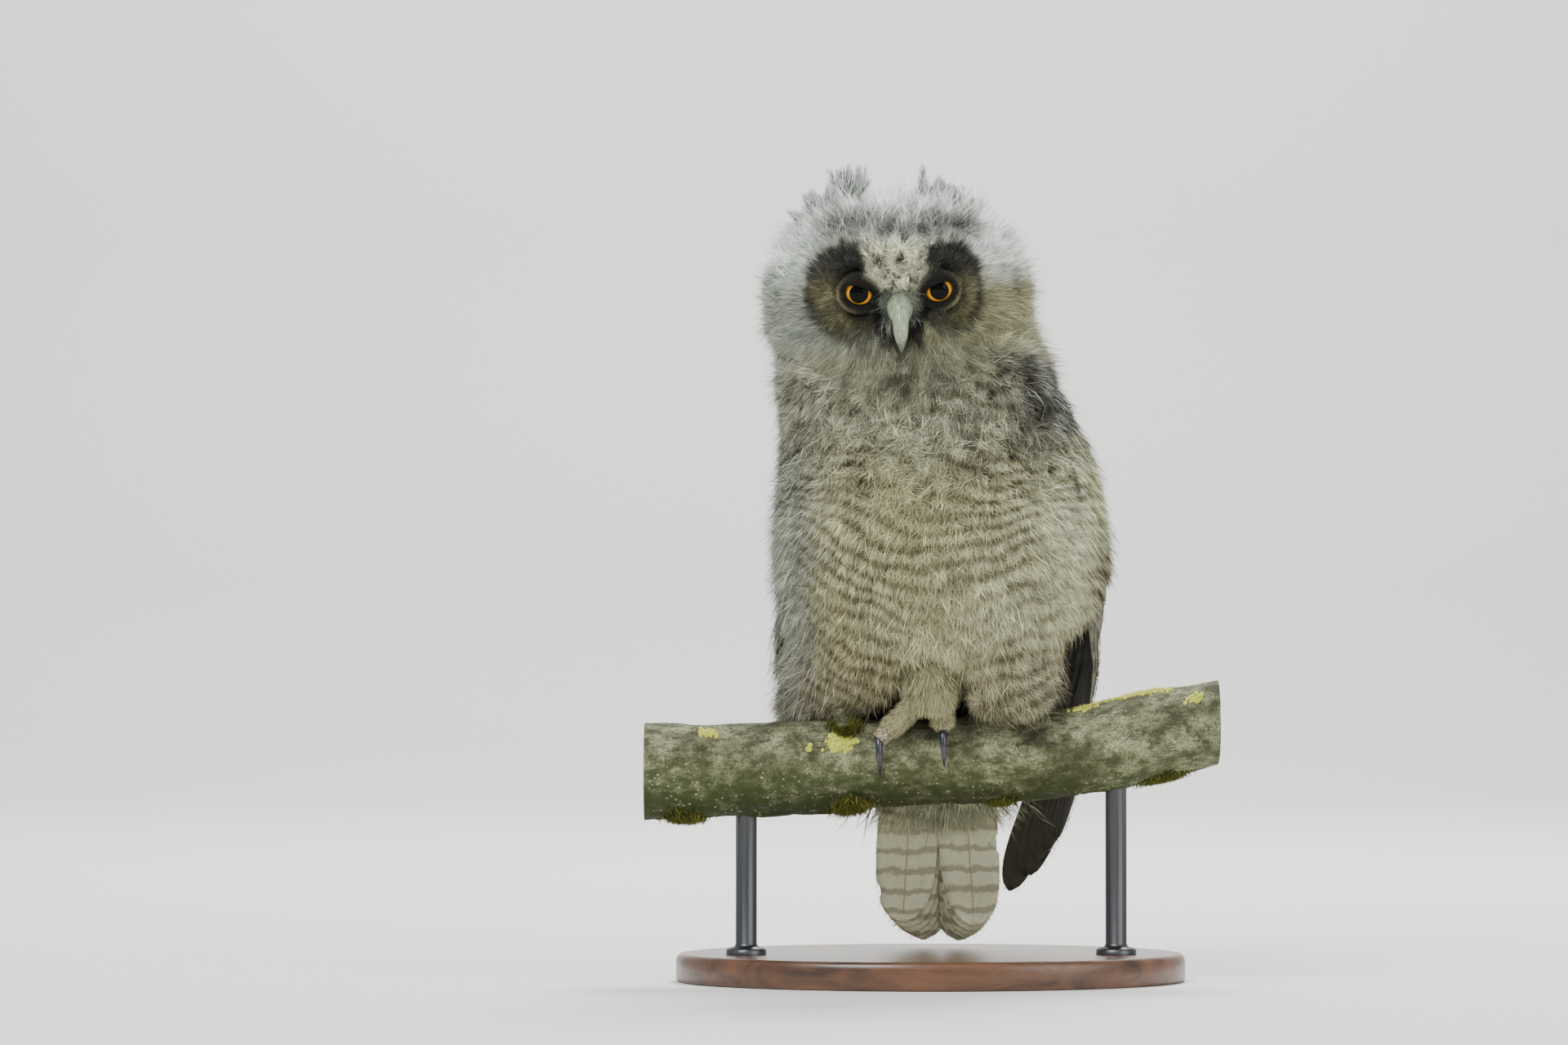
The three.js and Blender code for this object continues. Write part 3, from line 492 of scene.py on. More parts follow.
def tube(path, radii, around, rows, flat=1.0, ridge=None):
    """Points of a tube along a smooth path, row by row, with optional ridges on its radius."""
    path, radii = np.asarray(path, float), np.asarray(radii, float)
    share = np.linspace(0, 1, len(path))
    along = np.linspace(0, 1, rows)
    centre = curve_through(np.column_stack([share, path]), along)
    radius = curve_through(np.column_stack([share, radii]), along)[:, 0]
    way = unit(np.gradient(centre, axis=0))
    across = unit(np.array([1.0, 0, 0]) - way * way[:, :1])
    outward = np.cross(across, way)
    turn = full_turn(around)
    size = radius[:, None] * np.ones(around)
    if ridge is not None:
        size = size * ridge(along[:, None], turn[None])
    wide, high = size * np.sin(turn), size * np.cos(turn) * flat
    return centre[:, None] + across[:, None] * wide[..., None] + outward[:, None] * high[..., None]


def capped(name, rows_of_points, material):
    """A closed piece from rows of points round a path, each end drawn to its middle."""
    rows, around, _ = rows_of_points.shape
    ends = [rows_of_points[0].mean(0), rows_of_points[-1].mean(0)]
    points = np.concatenate([rows_of_points.reshape(-1, 3), ends])
    faces = [*sheet_faces(rows, around, wrap=True)]
    top = (rows - 1) * around
    for i in range(around):
        after = (i + 1) % around
        faces += [(i, rows * around, after), (top + i, top + after, rows * around + 1)]
    return moulded(name, points, faces, material)


def knobbly(along, turn):
    return 1 + 0.05 * np.sin(5 * turn + 9 * along) + 0.04 * np.sin(along * 40 + 2 * turn)


stub_root = perch_point(np.array([STUB["x"]]), np.array([STUB["angle"]]), -STUB_DEPTH)[0]
stub_lean = np.array(STUB["lean"]) / np.linalg.norm(STUB["lean"])
stub_reach = STUB["length"] + STUB_DEPTH
stub_path = [stub_root + stub_lean * share * stub_reach for share in (0, 0.3, 0.6, 0.85, 1)]
stub_radii = np.array([2.2, 1.45, 1.08, 1.0, 0.9]) * STUB["radius"]
twig = capped("cut_twig", tube(stub_path, stub_radii, 28, 26, ridge=knobbly), bark.material)
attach(twig, "root")
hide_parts("perch")
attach(branch, "root")

lichen = Finish("yellow lichen", Roughness=0.9)
lobes = lichen.noise(0.0012, 3, 0.6)
lichen_tone = lichen.blend(lobes.fade(0.3, 0.7), tone(164, 166, 34), tone(224, 226, 112))
lichen.feed(Base_Color=lichen_tone, Normal=lichen.bump(lobes, 0.0003))
random = np.random.default_rng(3)
lobe_turn = full_turn(LOBE_AROUND)
lobe_spread = np.array([1.0, 0.8, 0.0])[:, None]
lobe_rise = np.array([-0.0004, 0.0007, 0.00045])[:, None]
lichen_points, lichen_faces = [], []
for x, angle, along, round_it, many in LICHENS:
    for _ in range(many):
        at_x = x + random.normal(0, along * 0.45)
        at_angle = math.radians(angle + random.normal(0, round_it * 0.5))
        if abs(at_x) > GROWTH_END:
            continue
        size = random.uniform(0.0005, 0.0013)
        reach = size * (0.75 + 0.35 * random.random(LOBE_AROUND)) * lobe_spread
        lobe_x = at_x + reach * np.cos(lobe_turn)
        lobe_angle = at_angle + reach * np.sin(lobe_turn) / PERCH_RADIUS
        rise = bark_relief(np.full((3, 1), at_x), np.full((3, 1), at_angle))
        rise = rise + lobe_rise * random.uniform(0.8, 1.5) + 0.0002
        start = len(lichen_points) * LOBE_RINGS * LOBE_AROUND
        lichen_points.append(perch_point(lobe_x, lobe_angle, rise).reshape(-1, 3))
        lichen_faces.append(sheet_faces(LOBE_RINGS, LOBE_AROUND, wrap=True, start=start)[:, ::-1])
lichen_points, lichen_faces = np.concatenate(lichen_points), np.concatenate(lichen_faces)
lichens = piece("lichens", lichen_points, lichen_faces, lichen.material)
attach(lichens, "root")


PATCH_HALF = 0.0015


def tufted(
    name, roots, ways, lifts, lengths, widths, tones, material,
    patch_at=None, droop=0.4, bend=None, straight=False, waves=None,
):
    """Fine tapering blades, three faces each with a bend, or one face each where they are straight.
    Ways are unit vectors that the blades lie along, lifts the unit vectors that they rise to; tones
    has a colour for foot, bend and tip. A blade's patch in the map OFBake lies at its root's place."""
    count = len(roots)
    lengths, widths = np.broadcast_to(lengths, count), np.broadcast_to(widths, count)
    rise = unit(ways + lifts)
    fall = unit(rise * (1 - droop) + (ways if bend is None else bend) * droop)
    middle = roots + rise * (lengths * 0.5)[:, None]
    tip = middle + fall * (lengths * 0.5)[:, None]
    spin = np.random.default_rng(count).uniform(-0.9, 0.9, count)[:, None]
    flat = unit(np.cross(rise, lifts), 1e-9)
    edge = (flat * np.cos(spin) + np.cross(rise, flat) * np.sin(spin)) * (widths * 0.5)[:, None]
    rows = [roots - edge, roots + edge, middle - edge * 0.8, middle + edge * 0.8, tip]
    shape, shades = np.array([[0, 1, 3], [0, 3, 2], [2, 3, 4]]), [0, 0, 1, 1, 2]
    if straight:
        rows, shape, shades = [rows[0], rows[1], tip], np.array([[0, 1, 2]]), [0, 0, 2]
    faces = (np.arange(count)[:, None, None] * len(rows) + shape).reshape(-1, 3)
    made = piece(name, np.stack(rows, 1).reshape(-1, 3), faces, material, smooth=False)
    paint(made, tones[:, shades])
    if waves is not None:
        mark(made, "wave", np.stack(waves, 1)[:, shades])
    if patch_at is not None:
        between = [] if straight else [(-1, 0), (1, 0)]
        place = np.array([(-1, -1), (1, -1), *between, (0, 1)])
        corner = place[shape.ravel()] * PATCH_HALF
        uv = (patch_at[:, None] + corner[None]).astype(np.float32)
        made.data.uv_layers.new(name="OFBake").data.foreach_set("uv", uv.ravel())
    return made


def soften(made, outward, own_share=0.45):
    """Turns the shading of every blade mostly outwards, so that a coat is lit as one soft form."""
    soft = np.repeat(outward, len(made.data.vertices) // len(outward), axis=0)
    own = stored(made.data.vertices, "normal")
    own *= np.sign(np.sum(own * soft, axis=1, keepdims=True) + 1e-9)
    made.data.normals_split_custom_set_from_vertices(unit(soft + own * own_share))


moss = Finish("moss", Roughness=0.95)
moss.feed(Base_Color=moss.attribute("plumage", "Color"))
moss_x, moss_angle, moss_length = [], [], []
for x, angle, along, round_it, reach, dense in MOSSES:
    many = int(along * dense)
    moss_x.append(x + random.normal(0, along * 0.42, many))
    moss_angle.append(np.radians(angle + random.normal(0, round_it * 0.5, many)))
    moss_length.append(reach * random.uniform(0.5, 1.1, many))
moss_x, moss_angle, moss_length = map(np.concatenate, (moss_x, moss_angle, moss_length))
inside = (np.abs(moss_x) < GROWTH_END) & (random.random(len(moss_x)) < MOSS_KEPT)
moss_x, moss_angle, moss_length = moss_x[inside], moss_angle[inside], moss_length[inside]
moss_roots = perch_point(moss_x, moss_angle, bark_relief(moss_x, moss_angle) - 0.0003)
moss_up = unit(perch_point(moss_x, moss_angle, 0.01) - perch_point(moss_x, moss_angle, 0.0))
moss_way = unit(random.normal(0, 1, (len(moss_x), 3)))
moss_way -= moss_up * np.sum(moss_way * moss_up, axis=1, keepdims=True) - moss_up * 0.5
shade = random.uniform(0.55, 1.15, (len(moss_x), 1))
moss_green, moss_gold = np.array(tone(66, 76, 20)[:3]), np.array(tone(146, 140, 58)[:3])
moss_base = (moss_green + (moss_gold - moss_green) * random.random((len(moss_x), 1)) ** 2) * shade
moss_tones = np.stack([moss_base * 0.4, moss_base, moss_base * 1.25], 1)
moss_shape = (moss_roots, moss_way, moss_up * 1.3, moss_length, MOSS_WIDTH)
moss_tuft = tufted("moss", *moss_shape, moss_tones, moss.material)
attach(moss_tuft, "root")

# Skin. One smooth hide under the down, laid inside the solids of head, neck, body, thighs and tail
# coverts by the depth of the coat, so that no joint between them shows.
FLESH = ["head", "neck", "torso", "thigh_left", "thigh_right", "tail_coverts"]
VOXEL, INWARD_STEPS = 0.0021, 4
# Place and half size of the rounds of down that are joined to the flesh.
FOOT_WRAPS = [
    ((0.031, -0.029, 0.1235), (0.019, 0.019, 0.0125)),
    ((-0.045, 0.004, 0.1215), (0.0135, 0.020, 0.0125)),
]
HEAD_AT = Vector((-0.0138, -0.007, 0.288))
HEAD_TURN = Matrix.Rotation(math.radians(10), 3, "X") @ Matrix.Rotation(math.radians(-2.3), 3, "Y")
HEAD_ROWS = np.array(HEAD_TURN)
EYE_X, EYE_Z = 0.0168, 0.0093
EYE_AT = {"left": Vector((EYE_X, -0.0355, EYE_Z)), "right": Vector((-EYE_X, -0.0355, EYE_Z))}
BODY_TURN = math.radians(-10)


def in_head(points):
    """Places in the head's own frame: x to its left, -y ahead, z up, in metres."""
    return (np.asarray(points) - np.array(HEAD_AT)) @ HEAD_ROWS


def from_head(points):
    return np.asarray(points) @ HEAD_ROWS.T + np.array(HEAD_AT)


def eye_gap(points):
    """Distance from the axis of the nearer eye."""
    head = in_head(points)
    return np.hypot(np.abs(head[:, 0]) - EYE_X, head[:, 2] - EYE_Z)


def body_axes(x, y):
    """How far a place is to the left of the body's axis and ahead of it; x is taken from the axis."""
    turn = math.cos(BODY_TURN), math.sin(BODY_TURN)
    return x * turn[0] + y * turn[1], x * turn[1] - y * turn[0]


def coat_depth(points):
    """How far the skin lies inside the tips of the down."""
    head = in_head(points)
    face = smooth(0.022, 0.034, -head[:, 1]) * smooth(-0.045, -0.03, head[:, 2])
    x, y, z = np.asarray(points).T
    low = smooth(0.150, 0.125, z)
    depth = 0.0066 - 0.0022 * low - 0.0043 * face - 0.0038 * low * smooth(-0.018, -0.045, x)
    # The flank draws in below the left wing and shows its lower edge.
    depth = depth + 0.011 * smooth(0.046, 0.058, x) * smooth(0.160, 0.138, z)
    return np.where(face > 0.5, depth * smooth(0.006, 0.013, eye_gap(points)), depth)


joined = bmesh.new()
for name in FLESH:
    joined.from_mesh(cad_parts[name].data)
# The drawn-up foot is wrapped in the belly's down.
for at, size in FOOT_WRAPS:
    place = Matrix.Translation(at) @ Matrix.Diagonal((*size, 1))
    bmesh.ops.create_icosphere(joined, subdivisions=3, radius=1, matrix=place)
bmesh.ops.remove_doubles(joined, verts=joined.verts, dist=1e-6)
skin_mesh = bpy.data.meshes.new("skin")
joined.to_mesh(skin_mesh)
joined.free()
skin = bpy.data.objects.new("skin", skin_mesh)
bpy.context.collection.objects.link(skin)
remesh = skin.modifiers.new("one hide", "REMESH")
remesh.mode, remesh.voxel_size = "VOXEL", VOXEL
ease = skin.modifiers.new("ease", "CORRECTIVE_SMOOTH")
ease.use_only_smooth, ease.iterations, ease.factor = True, 6, 0.5
hide = applied(skin)
co = stored(hide.vertices, "co")
for _ in range(INWARD_STEPS):
    facing = stored(hide.vertices, "normal")
    co = co - facing * (coat_depth(co) / INWARD_STEPS)[:, None]
    hide.vertices.foreach_set("co", co.ravel())
    hide.update()
settle = skin.modifiers.new("settle", "CORRECTIVE_SMOOTH")
settle.use_only_smooth, settle.iterations, settle.factor = True, 4, 0.5
hide = applied(skin)
hide.polygons.foreach_set("use_smooth", np.full(len(hide.polygons), True))
bpy.context.view_layer.objects.active = skin
skin.select_set(True)
bpy.ops.object.mode_set(mode="EDIT")
bpy.ops.mesh.select_all(action="SELECT")
bpy.ops.mesh.quads_convert_to_tris()
bpy.ops.uv.smart_project(angle_limit=math.radians(66), island_margin=0.002)
bpy.ops.object.mode_set(mode="OBJECT")
hide.uv_layers[0].name = "OFBake"


def mottle(points, size, seed):
    return 0.65 * clouds(points, size, seed) + 0.35 * clouds(points, size * 0.45, seed + 40)


def mixed(low, high, share):
    share = np.clip(share, 0, 1)[:, None]
    return low * (1 - share) + high * share


DOWN = {name: np.array(tone(*rgb)[:3]) for name, rgb in {
    "buff": (192, 186, 134),
    "bar": (106, 95, 68),
    "umber": (84, 76, 56),
    "grey": (164, 171, 154),
    "cream": (228, 229, 192),
    "white": (242, 248, 240),
    "black": (24, 24, 20),
    "soot": (52, 49, 40),
    "tan": (168, 146, 108),
    "rust": (134, 116, 84),
}.items()}


def on_leg(x, y, z):
    """1 on the front of the standing leg, in millimetres."""
    return np.exp(-(((x + 2) / 13) ** 4)) * smooth(150, 140, z) * smooth(-14, -24, y)


def above_neck(head):
    """0 on the body and 1 on the head, from places in the head's frame in millimetres."""
    return smooth(-40, -22, head[:, 2] + 0.35 * head[:, 1])


def plumage(points):
    """The colour of the down anywhere on the bird, as one pattern for the skin and for the coat."""
    points = np.asarray(points, float)
    x, y, z = points.T * 1000
    side, ahead = body_axes(x - 4, y)
    cloudy = clouds(points, 0.022, 14)
    colour = mixed(DOWN["buff"] * 0.95, DOWN["cream"] * 0.9, 0.22 + 0.3 * cloudy)
    warm = smooth(-10, 60, side) * smooth(0, 30, ahead)
    colour = mixed(colour, DOWN["cream"], 0.35 * warm)
    fringe = smooth(34, 60, -side)
    colour = mixed(colour, DOWN["grey"] * 0.72, 0.8 * fringe)
    # The bird's right edge turns paler grey: painted rim light from behind.
    colour = mixed(colour, DOWN["grey"] * 1.2, 0.8 * smooth(50, 62, -side))
    low = 1 - smooth(118, 160, z)
    colour = mixed(colour, DOWN["rust"], 0.50 * low)
    leg_down = mixed(DOWN["cream"] * (0.96, 0.92, 0.80), DOWN["tan"], 0.3 + 0.4 * clouds(points, 0.003, 9))
    colour = mixed(colour, leg_down, 0.85 * on_leg(x, y, z))
    # The breast under the chin is peppered dark.
    pepper = smooth(-0.35, 0.45, mottle(points * (1, 1, 0.7), 0.0042, 6))
    breast = smooth(196, 236, z) * smooth(-15, 15, ahead)
    peppered = mixed(DOWN["cream"] * 1.05, DOWN["umber"] * 0.8, 0.28 + 0.62 * pepper)
    colour = mixed(colour, peppered, breast * 0.9)
    # The shoulder is dark and white in coarse flecks and pale grey below them.
    shoulder = smooth(34, 44, side) * smooth(214, 240, z) * (1 - smooth(276, 290, z))
    flecks = smooth(-0.50, -0.12, mottle(points, 0.0058, 12))
    colour = mixed(colour, mixed(DOWN["white"] * 0.9, DOWN["soot"], flecks), 0.85 * shoulder)
    flank = smooth(50, 64, side) * smooth(160, 196, z) * (1 - smooth(216, 236, z))
    colour = mixed(colour, DOWN["cream"] * 1.35, 0.8 * flank)
    # The back is darker grey-brown with the same bars.
    back = smooth(5, 30, -ahead)
    colour = mixed(colour, DOWN["grey"] * 0.58, 0.75 * back)
    return head_plumage(points, colour)


BAR_SPACING = 7.2


def barring(points):
    """The wavy bars across the body's down, a feather's row apart: their phase in turns, and how dark
    they are. The material turns the phase into a bar, so one stays sharp along a strand."""
    points = np.asarray(points, float)
    x, y, z = points.T * 1000
    side, ahead = body_axes(x - 4, y)
    drift = 5.5 * clouds(points, 0.030, 1) + 3.4 * clouds(points, 0.013, 2) + 0.10 * np.clip(side, -60, 60)
    bowl = 0.0060 * np.clip(np.abs(side - 2), 0, 55) ** 2 * smooth(235, 190, z)
    phase = (z - bowl + drift) / BAR_SPACING + 0.22 * clouds(points, 0.0055, 3)
    broken = 0.30 + 0.60 * smooth(-0.55, 0.35, clouds(points, 0.017, 4))
    breast = smooth(200, 240, z) * smooth(-15, 15, ahead) * (1 - smooth(10, 34, side))
    shoulder = smooth(34, 44, side) * smooth(214, 240, z)
    # The bars also fade at the bird's right edge, under the painted rim light.
    breast = np.maximum(breast, 0.8 * smooth(48, 60, -side))
    bare = (1 - shoulder) * (1 - on_leg(x, y, z)) * (1 - above_neck(in_head(points) * 1000))
    strength = broken * (1 - 0.75 * breast) * bare
    return np.stack([phase, strength, 0 * phase], 1)


def marked(finish):
    """Crosses the colour that a piece carries with the bars of its attribute wave."""
    ground = finish.attribute("plumage", "Color")
    wave = finish.attribute("wave", "Vector")
    phase, strength = finish.part(wave, 0), finish.part(wave, 1)
    swing = (phase * (2 * math.pi)).apply("SINE")
    dark = finish.blend(1.0, ground, (0.27, 0.235, 0.19, 1), "MULTIPLY")
    return finish.blend(swing.fade(-0.55, 0.85) * strength, ground, dark)


def head_plumage(points, colour):
    head = in_head(points) * 1000
    x, y, z = head.T
    reach = np.abs(x)
    fine = mottle(points, 0.0034, 21)
    front = smooth(10, 24, -y)
    behind = smooth(-6, 16, y)
    # The crown's pale down is painted brighter than plain white: partly its own colour, partly painted light
    # from behind.
    crown_down = mixed(DOWN["white"] * 1.3, DOWN["grey"] * 0.85, 0.10 + 0.55 * fine)
    nape_bars = smooth(-0.2, 0.6, np.sin((z + 0.5 * y + 2.5 * clouds(points, 0.02, 22)) * 0.62) + 0.5 * fine)
    crown_down = mixed(crown_down, mixed(DOWN["grey"] * 0.8, DOWN["umber"], nape_bars), 0.75 * behind)
    cheek = mixed(DOWN["grey"] * 1.05, DOWN["buff"] * 0.85, smooth(-14, 14, x) * 0.8)
    cheek = mixed(cheek, DOWN["umber"], 0.5 * smooth(-0.1, 0.7, fine) * (1 - smooth(30, 10, x) * 0.5))
    look = mixed(cheek, crown_down, np.maximum(smooth(10, 30, z + 0.12 * reach), behind))
    # A dark band crosses the forehead under the pale crown.
    band = np.exp(-(((z - 37 + 2.0 * clouds(points, 0.014, 23)) / 5.8) ** 2))
    band = band * smooth(2, 12, -y) * (1 - smooth(30, 42, reach))
    look = mixed(look, mixed(DOWN["grey"] * 0.75, DOWN["soot"], 0.62 + 0.6 * fine), 0.92 * band)
    # The facial disc: olive brown rays at the height of the eye, black above, below and round it.
    disc = np.hypot((reach - 23.0) / np.where(x < 0, 17.0, 14.4), (z - 8.5) / 21.8)
    disc = disc + 0.12 * clouds(points, 0.009, 26) + 0.12 * clouds(points, 0.0032, 27)
    in_disc = (1 - smooth(0.96, 1.06, disc)) * front
    rays = np.sin(np.arctan2(z - 9.3, reach - 16.8) * 38 + 3 * clouds(points, 0.01, 24))
    olive = mixed(DOWN["buff"] * 0.62, DOWN["umber"] * 0.62, 0.42 + 0.13 * rays + 0.45 * fine)
    middle = np.exp(-(((z - 5) / 9.5) ** 2)) * smooth(17, 23, reach)
    face = mixed(DOWN["soot"] * 0.85, olive * 1.3, 0.30 + 0.70 * middle)
    face = mixed(face, DOWN["grey"] * 0.55, 0.6 * smooth(-4, -14, z) * smooth(0.55, 0.95, disc))
    look = mixed(look, face, in_disc)
    edge = np.exp(-(((disc - 0.95) / 0.10) ** 2)) * front
    edge = edge * smooth(-12, 0, z) * (1 - smooth(28, 36, z)) * smooth(20, 27, reach)
    look = mixed(look, DOWN["black"] * 1.2, 0.92 * edge)
    eye_far = np.hypot(reach - 16.8, z - 9.3)
    patch = np.exp(-(((reach - 23) / 13.0) ** 4) - (((z - 22 - 0.05 * reach) / 9.0) ** 4)) * in_disc
    look = mixed(look, DOWN["black"] * (1.5 + 2.2 * np.clip(fine, -0.4, 1))[:, None], 0.88 * patch)
    ring = (1 - smooth(4.9, 6.2, eye_far)) * front
    look = mixed(look, DOWN["black"], 0.92 * ring)
    # The pale woolly wedge between the brows.
    off_middle = np.abs(x + 0.09 * np.clip(z - 8, 0, 40))
    wedge_half = np.minimum(3.6 + 0.66 * np.clip(z - 4, 0, 40), 13.2)
    wedge = 1 - smooth(wedge_half - 1.6, wedge_half + 1.6, off_middle)
    wedge = wedge * smooth(-2, 5, z) * (1 - smooth(28, 34, z)) * front
    wool = mixed(DOWN["cream"] * 1.3, DOWN["umber"] * 0.8, 0.04 + 0.9 * smooth(0.05, 0.5, fine))
    look = mixed(look, wool, 0.95 * wedge)
    # Black bristles from the inner corner of each eye down both sides of the bill.
    outer = 16.4 + 0.41 * (z - 8)
    beard = smooth(-1.0, 2.5, outer - reach) * smooth(-14, -9, z) * (1 - smooth(5, 11, z))
    beard = beard * front * (1 - wedge)
    look = mixed(look, DOWN["black"] * 0.9, 0.96 * beard)
    # The speckled rim of the disc, white and black.
    rim = np.exp(-(((disc - 1.10) / 0.06) ** 2)) * front
    speck = smooth(-0.1, 0.2, mottle(points, 0.0022, 31))
    look = mixed(look, mixed(DOWN["cream"], DOWN["black"] * 2, speck), 0.8 * rim * smooth(4, 14, z))
    chin = smooth(12, 20, -z) * front
    pepper = mixed(DOWN["cream"] * 0.8, DOWN["umber"], 0.45 + 0.6 * fine)
    look = mixed(look, pepper, 0.75 * chin * (1 - beard) * (1 - in_disc))
    return mixed(colour, look, above_neck(head))


skin_finish = Finish("hide under the down", Roughness=0.9)
lint = skin_finish.noise(0.0006, 3, 0.7, skin_finish.place((1, 1, 0.25)))
skin_tone = skin_finish.blend(lint, marked(skin_finish), tone(40, 36, 28))
skin_finish.feed(Base_Color=skin_tone, Normal=skin_finish.bump(lint, 0.0006))
co, facing = stored(hide.vertices, "co"), stored(hide.vertices, "normal")
coat_tips = co + facing * coat_depth(co)[:, None]
# The hide takes half the down's colour: partly the down's darker bases, partly painted shade at the bottom of
# the coat.
paint(skin, plumage(coat_tips) * 0.5)
mark(skin, "wave", barring(coat_tips))
hide.materials.clear()
hide.materials.append(skin_finish.material)
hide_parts(*FLESH)
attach(skin, "root")

# Eyes. A glossy ball with a clear bulge, a large pupil and an orange-yellow iris with fine spokes,
# set deep between black lids, the upper one slanted.
EYE_RADIUS, EYE_BULGE = 0.009, 0.0011
PUPIL, IRIS = 0.0040, 0.0072
EYE_ROWS, EYE_AROUND, LID_AROUND, LID_FEATHERS = 44, 64, 72, 9000
LID_WIDE, LID_HIGH, LID_SLANT = 0.0057, 0.0045, math.radians(19)
# From the opening outwards: share of the way, height over the ball, share of the down's colour.
LID_ROWS = [
    (-0.06, -0.0005, 0.02), (-0.02, 0.0002, 0.02), (0.10, 0.0004, 0.05), (0.34, 0.0002, 0.25),
    (0.68, -0.0003, 0.6), (1.0, -0.0016, 0.8),
]

random = np.random.default_rng(12)
lid_sets = []
for side, sign in (("left", 1), ("right", -1)):
    gloss = {"Roughness": 0.03, "Specular_IOR_Level": 0.12, "Coat_Weight": 0.08, "Coat_Roughness": 0.01}
    eye = Finish(f"eye_{side}", IOR=1.33, **gloss)
    # Distances are taken in the head's frame from the axis of the eye.
    axis = HEAD_TURN @ Vector((0, -1, 0))
    centre = Vector(from_head(np.array(EYE_AT[side])))
    local = eye.add("ShaderNodeVectorMath", {"operation": "SUBTRACT"}, {0: eye.place(), 1: tuple(centre)})
    depth = eye.add("ShaderNodeVectorMath", {"operation": "DOT_PRODUCT"}, {0: local, 1: tuple(axis)}, 1)
    square = eye.add("ShaderNodeVectorMath", {"operation": "DOT_PRODUCT"}, {0: local, 1: local}, 1)
    from_axis = (square - depth * depth).apply("MAXIMUM", 0.0) ** 0.5
    spokes = eye.noise(0.0009, 4, 0.7)
    amber = eye.blend(from_axis.fade(PUPIL, IRIS), tone(226, 150, 12), tone(176, 88, 3))
    amber = eye.blend(spokes.fade(0.44, 0.70) * 0.45, amber, tone(240, 190, 58))
    amber = eye.blend((1 - spokes).fade(0.52, 0.72) * 0.6, amber, tone(120, 56, 3))
    limbus = from_axis.fade(IRIS - 0.0022, IRIS - 0.0010)
    iris = eye.blend(limbus, amber, tone(9, 6, 4))
    pupil_edge = from_axis.fade(PUPIL - 0.00015, PUPIL + 0.0002)
    eye.feed(Base_Color=eye.blend(pupil_edge, tone(3, 3, 4), iris))
    angle = np.linspace(0, np.pi, EYE_ROWS + 2)[1:-1]
    radius = EYE_RADIUS + EYE_BULGE * np.exp(-((angle / 0.62) ** 2))
    turn = full_turn(EYE_AROUND)
    ball = np.stack([
        (radius * np.sin(angle))[:, None] * np.cos(turn),
        (-radius * np.cos(angle))[:, None] + 0 * turn,
        (radius * np.sin(angle))[:, None] * np.sin(turn),
    ], -1) + np.array(EYE_AT[side])
    eyeball = capped(f"eyeball_{side}", from_head(ball), eye.material)
    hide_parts(f"eye_{side}")
    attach(eyeball, "root")

    # The lids: a rounded black rim along the almond opening, thicker above, on the eyeball.
    lid_finish = Finish(f"lid_{side}", Roughness=0.75, Specular_IOR_Level=0.15)
    creases = lid_finish.noise(0.0005, 2, 0.5)
    lid_tone = lid_finish.attribute("plumage", "Color")
    lid_finish.feed(Base_Color=lid_tone, Normal=lid_finish.bump(creases, 0.0003, 0.6))
    turn = full_turn(LID_AROUND)
    wide, high = LID_WIDE * np.cos(turn), LID_HIGH * np.sin(turn)
    high = np.where(high > 0, 0.68 * LID_HIGH * np.abs(np.sin(turn)) ** 0.7, high)
    # A slant that drops towards the bill gives the frown.
    lid_x = wide * math.cos(LID_SLANT) - high * math.sin(LID_SLANT)
    lid_z = wide * math.sin(LID_SLANT) + high * math.cos(LID_SLANT)
    rim_points = []
    for out, lift, _ in LID_ROWS:
        px = sign * (lid_x + (0.0078 * np.cos(turn) - lid_x) * out)
        pz = lid_z + (0.0074 * np.sin(turn) - lid_z) * out
        shell = EYE_RADIUS + 0.0006 + lift + np.where(lid_z > 0, 0.0003, 0)
        far = np.hypot(px, pz)
        bulge = EYE_BULGE * np.exp(-((np.arcsin(np.clip(far / EYE_RADIUS, 0, 1)) / 0.62) ** 2))
        py = -np.sqrt(np.maximum((shell + bulge) ** 2 - far**2, 1e-8))
        rim_points.append(np.stack([px, py, pz], -1) + np.array(EYE_AT[side]))
    rim_rows = from_head(np.array(rim_points))
    faces = sheet_faces(len(rim_rows), LID_AROUND, wrap=True)[:, ::sign]
    lids = piece(f"lids_{side}", rim_rows.reshape(-1, 3), faces, lid_finish.material)
    lid_shade = np.repeat([row[2] for row in LID_ROWS], LID_AROUND)[:, None]
    lid_down = plumage(rim_rows.reshape(-1, 3) + np.array(axis) * 0.001)
    paint(lids, lid_down * lid_shade + DOWN["black"] * 0.3)
    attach(lids, "root")
    # Fine black feathers stand round the opening and hide the lids' outer half.
    many = LID_FEATHERS
    at_row, at_turn = random.uniform(2.3, 4.8, many), random.integers(0, LID_AROUND, many)
    row, part = at_row.astype(int), (at_row % 1)[:, None]
    roots = rim_rows[row, at_turn] * (1 - part) + rim_rows[row + 1, at_turn] * part
    roots = roots + random.normal(0, 0.00012, (many, 3))
    outward = unit(roots - np.array(centre))
    ahead_of = np.array(axis)
    away = unit(outward - ahead_of * (outward @ ahead_of)[:, None])
    away += random.normal(0, 0.25, away.shape)
    far_side = smooth(-0.002, 0.004, sign * in_head(roots)[:, 0] - EYE_X)
    streak = random.uniform(0.0, 1.5, (many, 1))
    streak = streak * (smooth(2.5, 3.7, at_row) * (0.25 + 0.75 * far_side))[:, None]
    shade = plumage(roots + outward * 0.001 + away * 0.003) * streak * 0.7 + DOWN["black"] * 0.35
    lengths = random.uniform(0.0014, 0.0030, many)
    tones = np.stack([shade * 0.6, shade, shade * 1.5], 1)
    lid_sets.append((roots - outward * 0.0002, unit(away), outward * 0.35, lengths, tones))

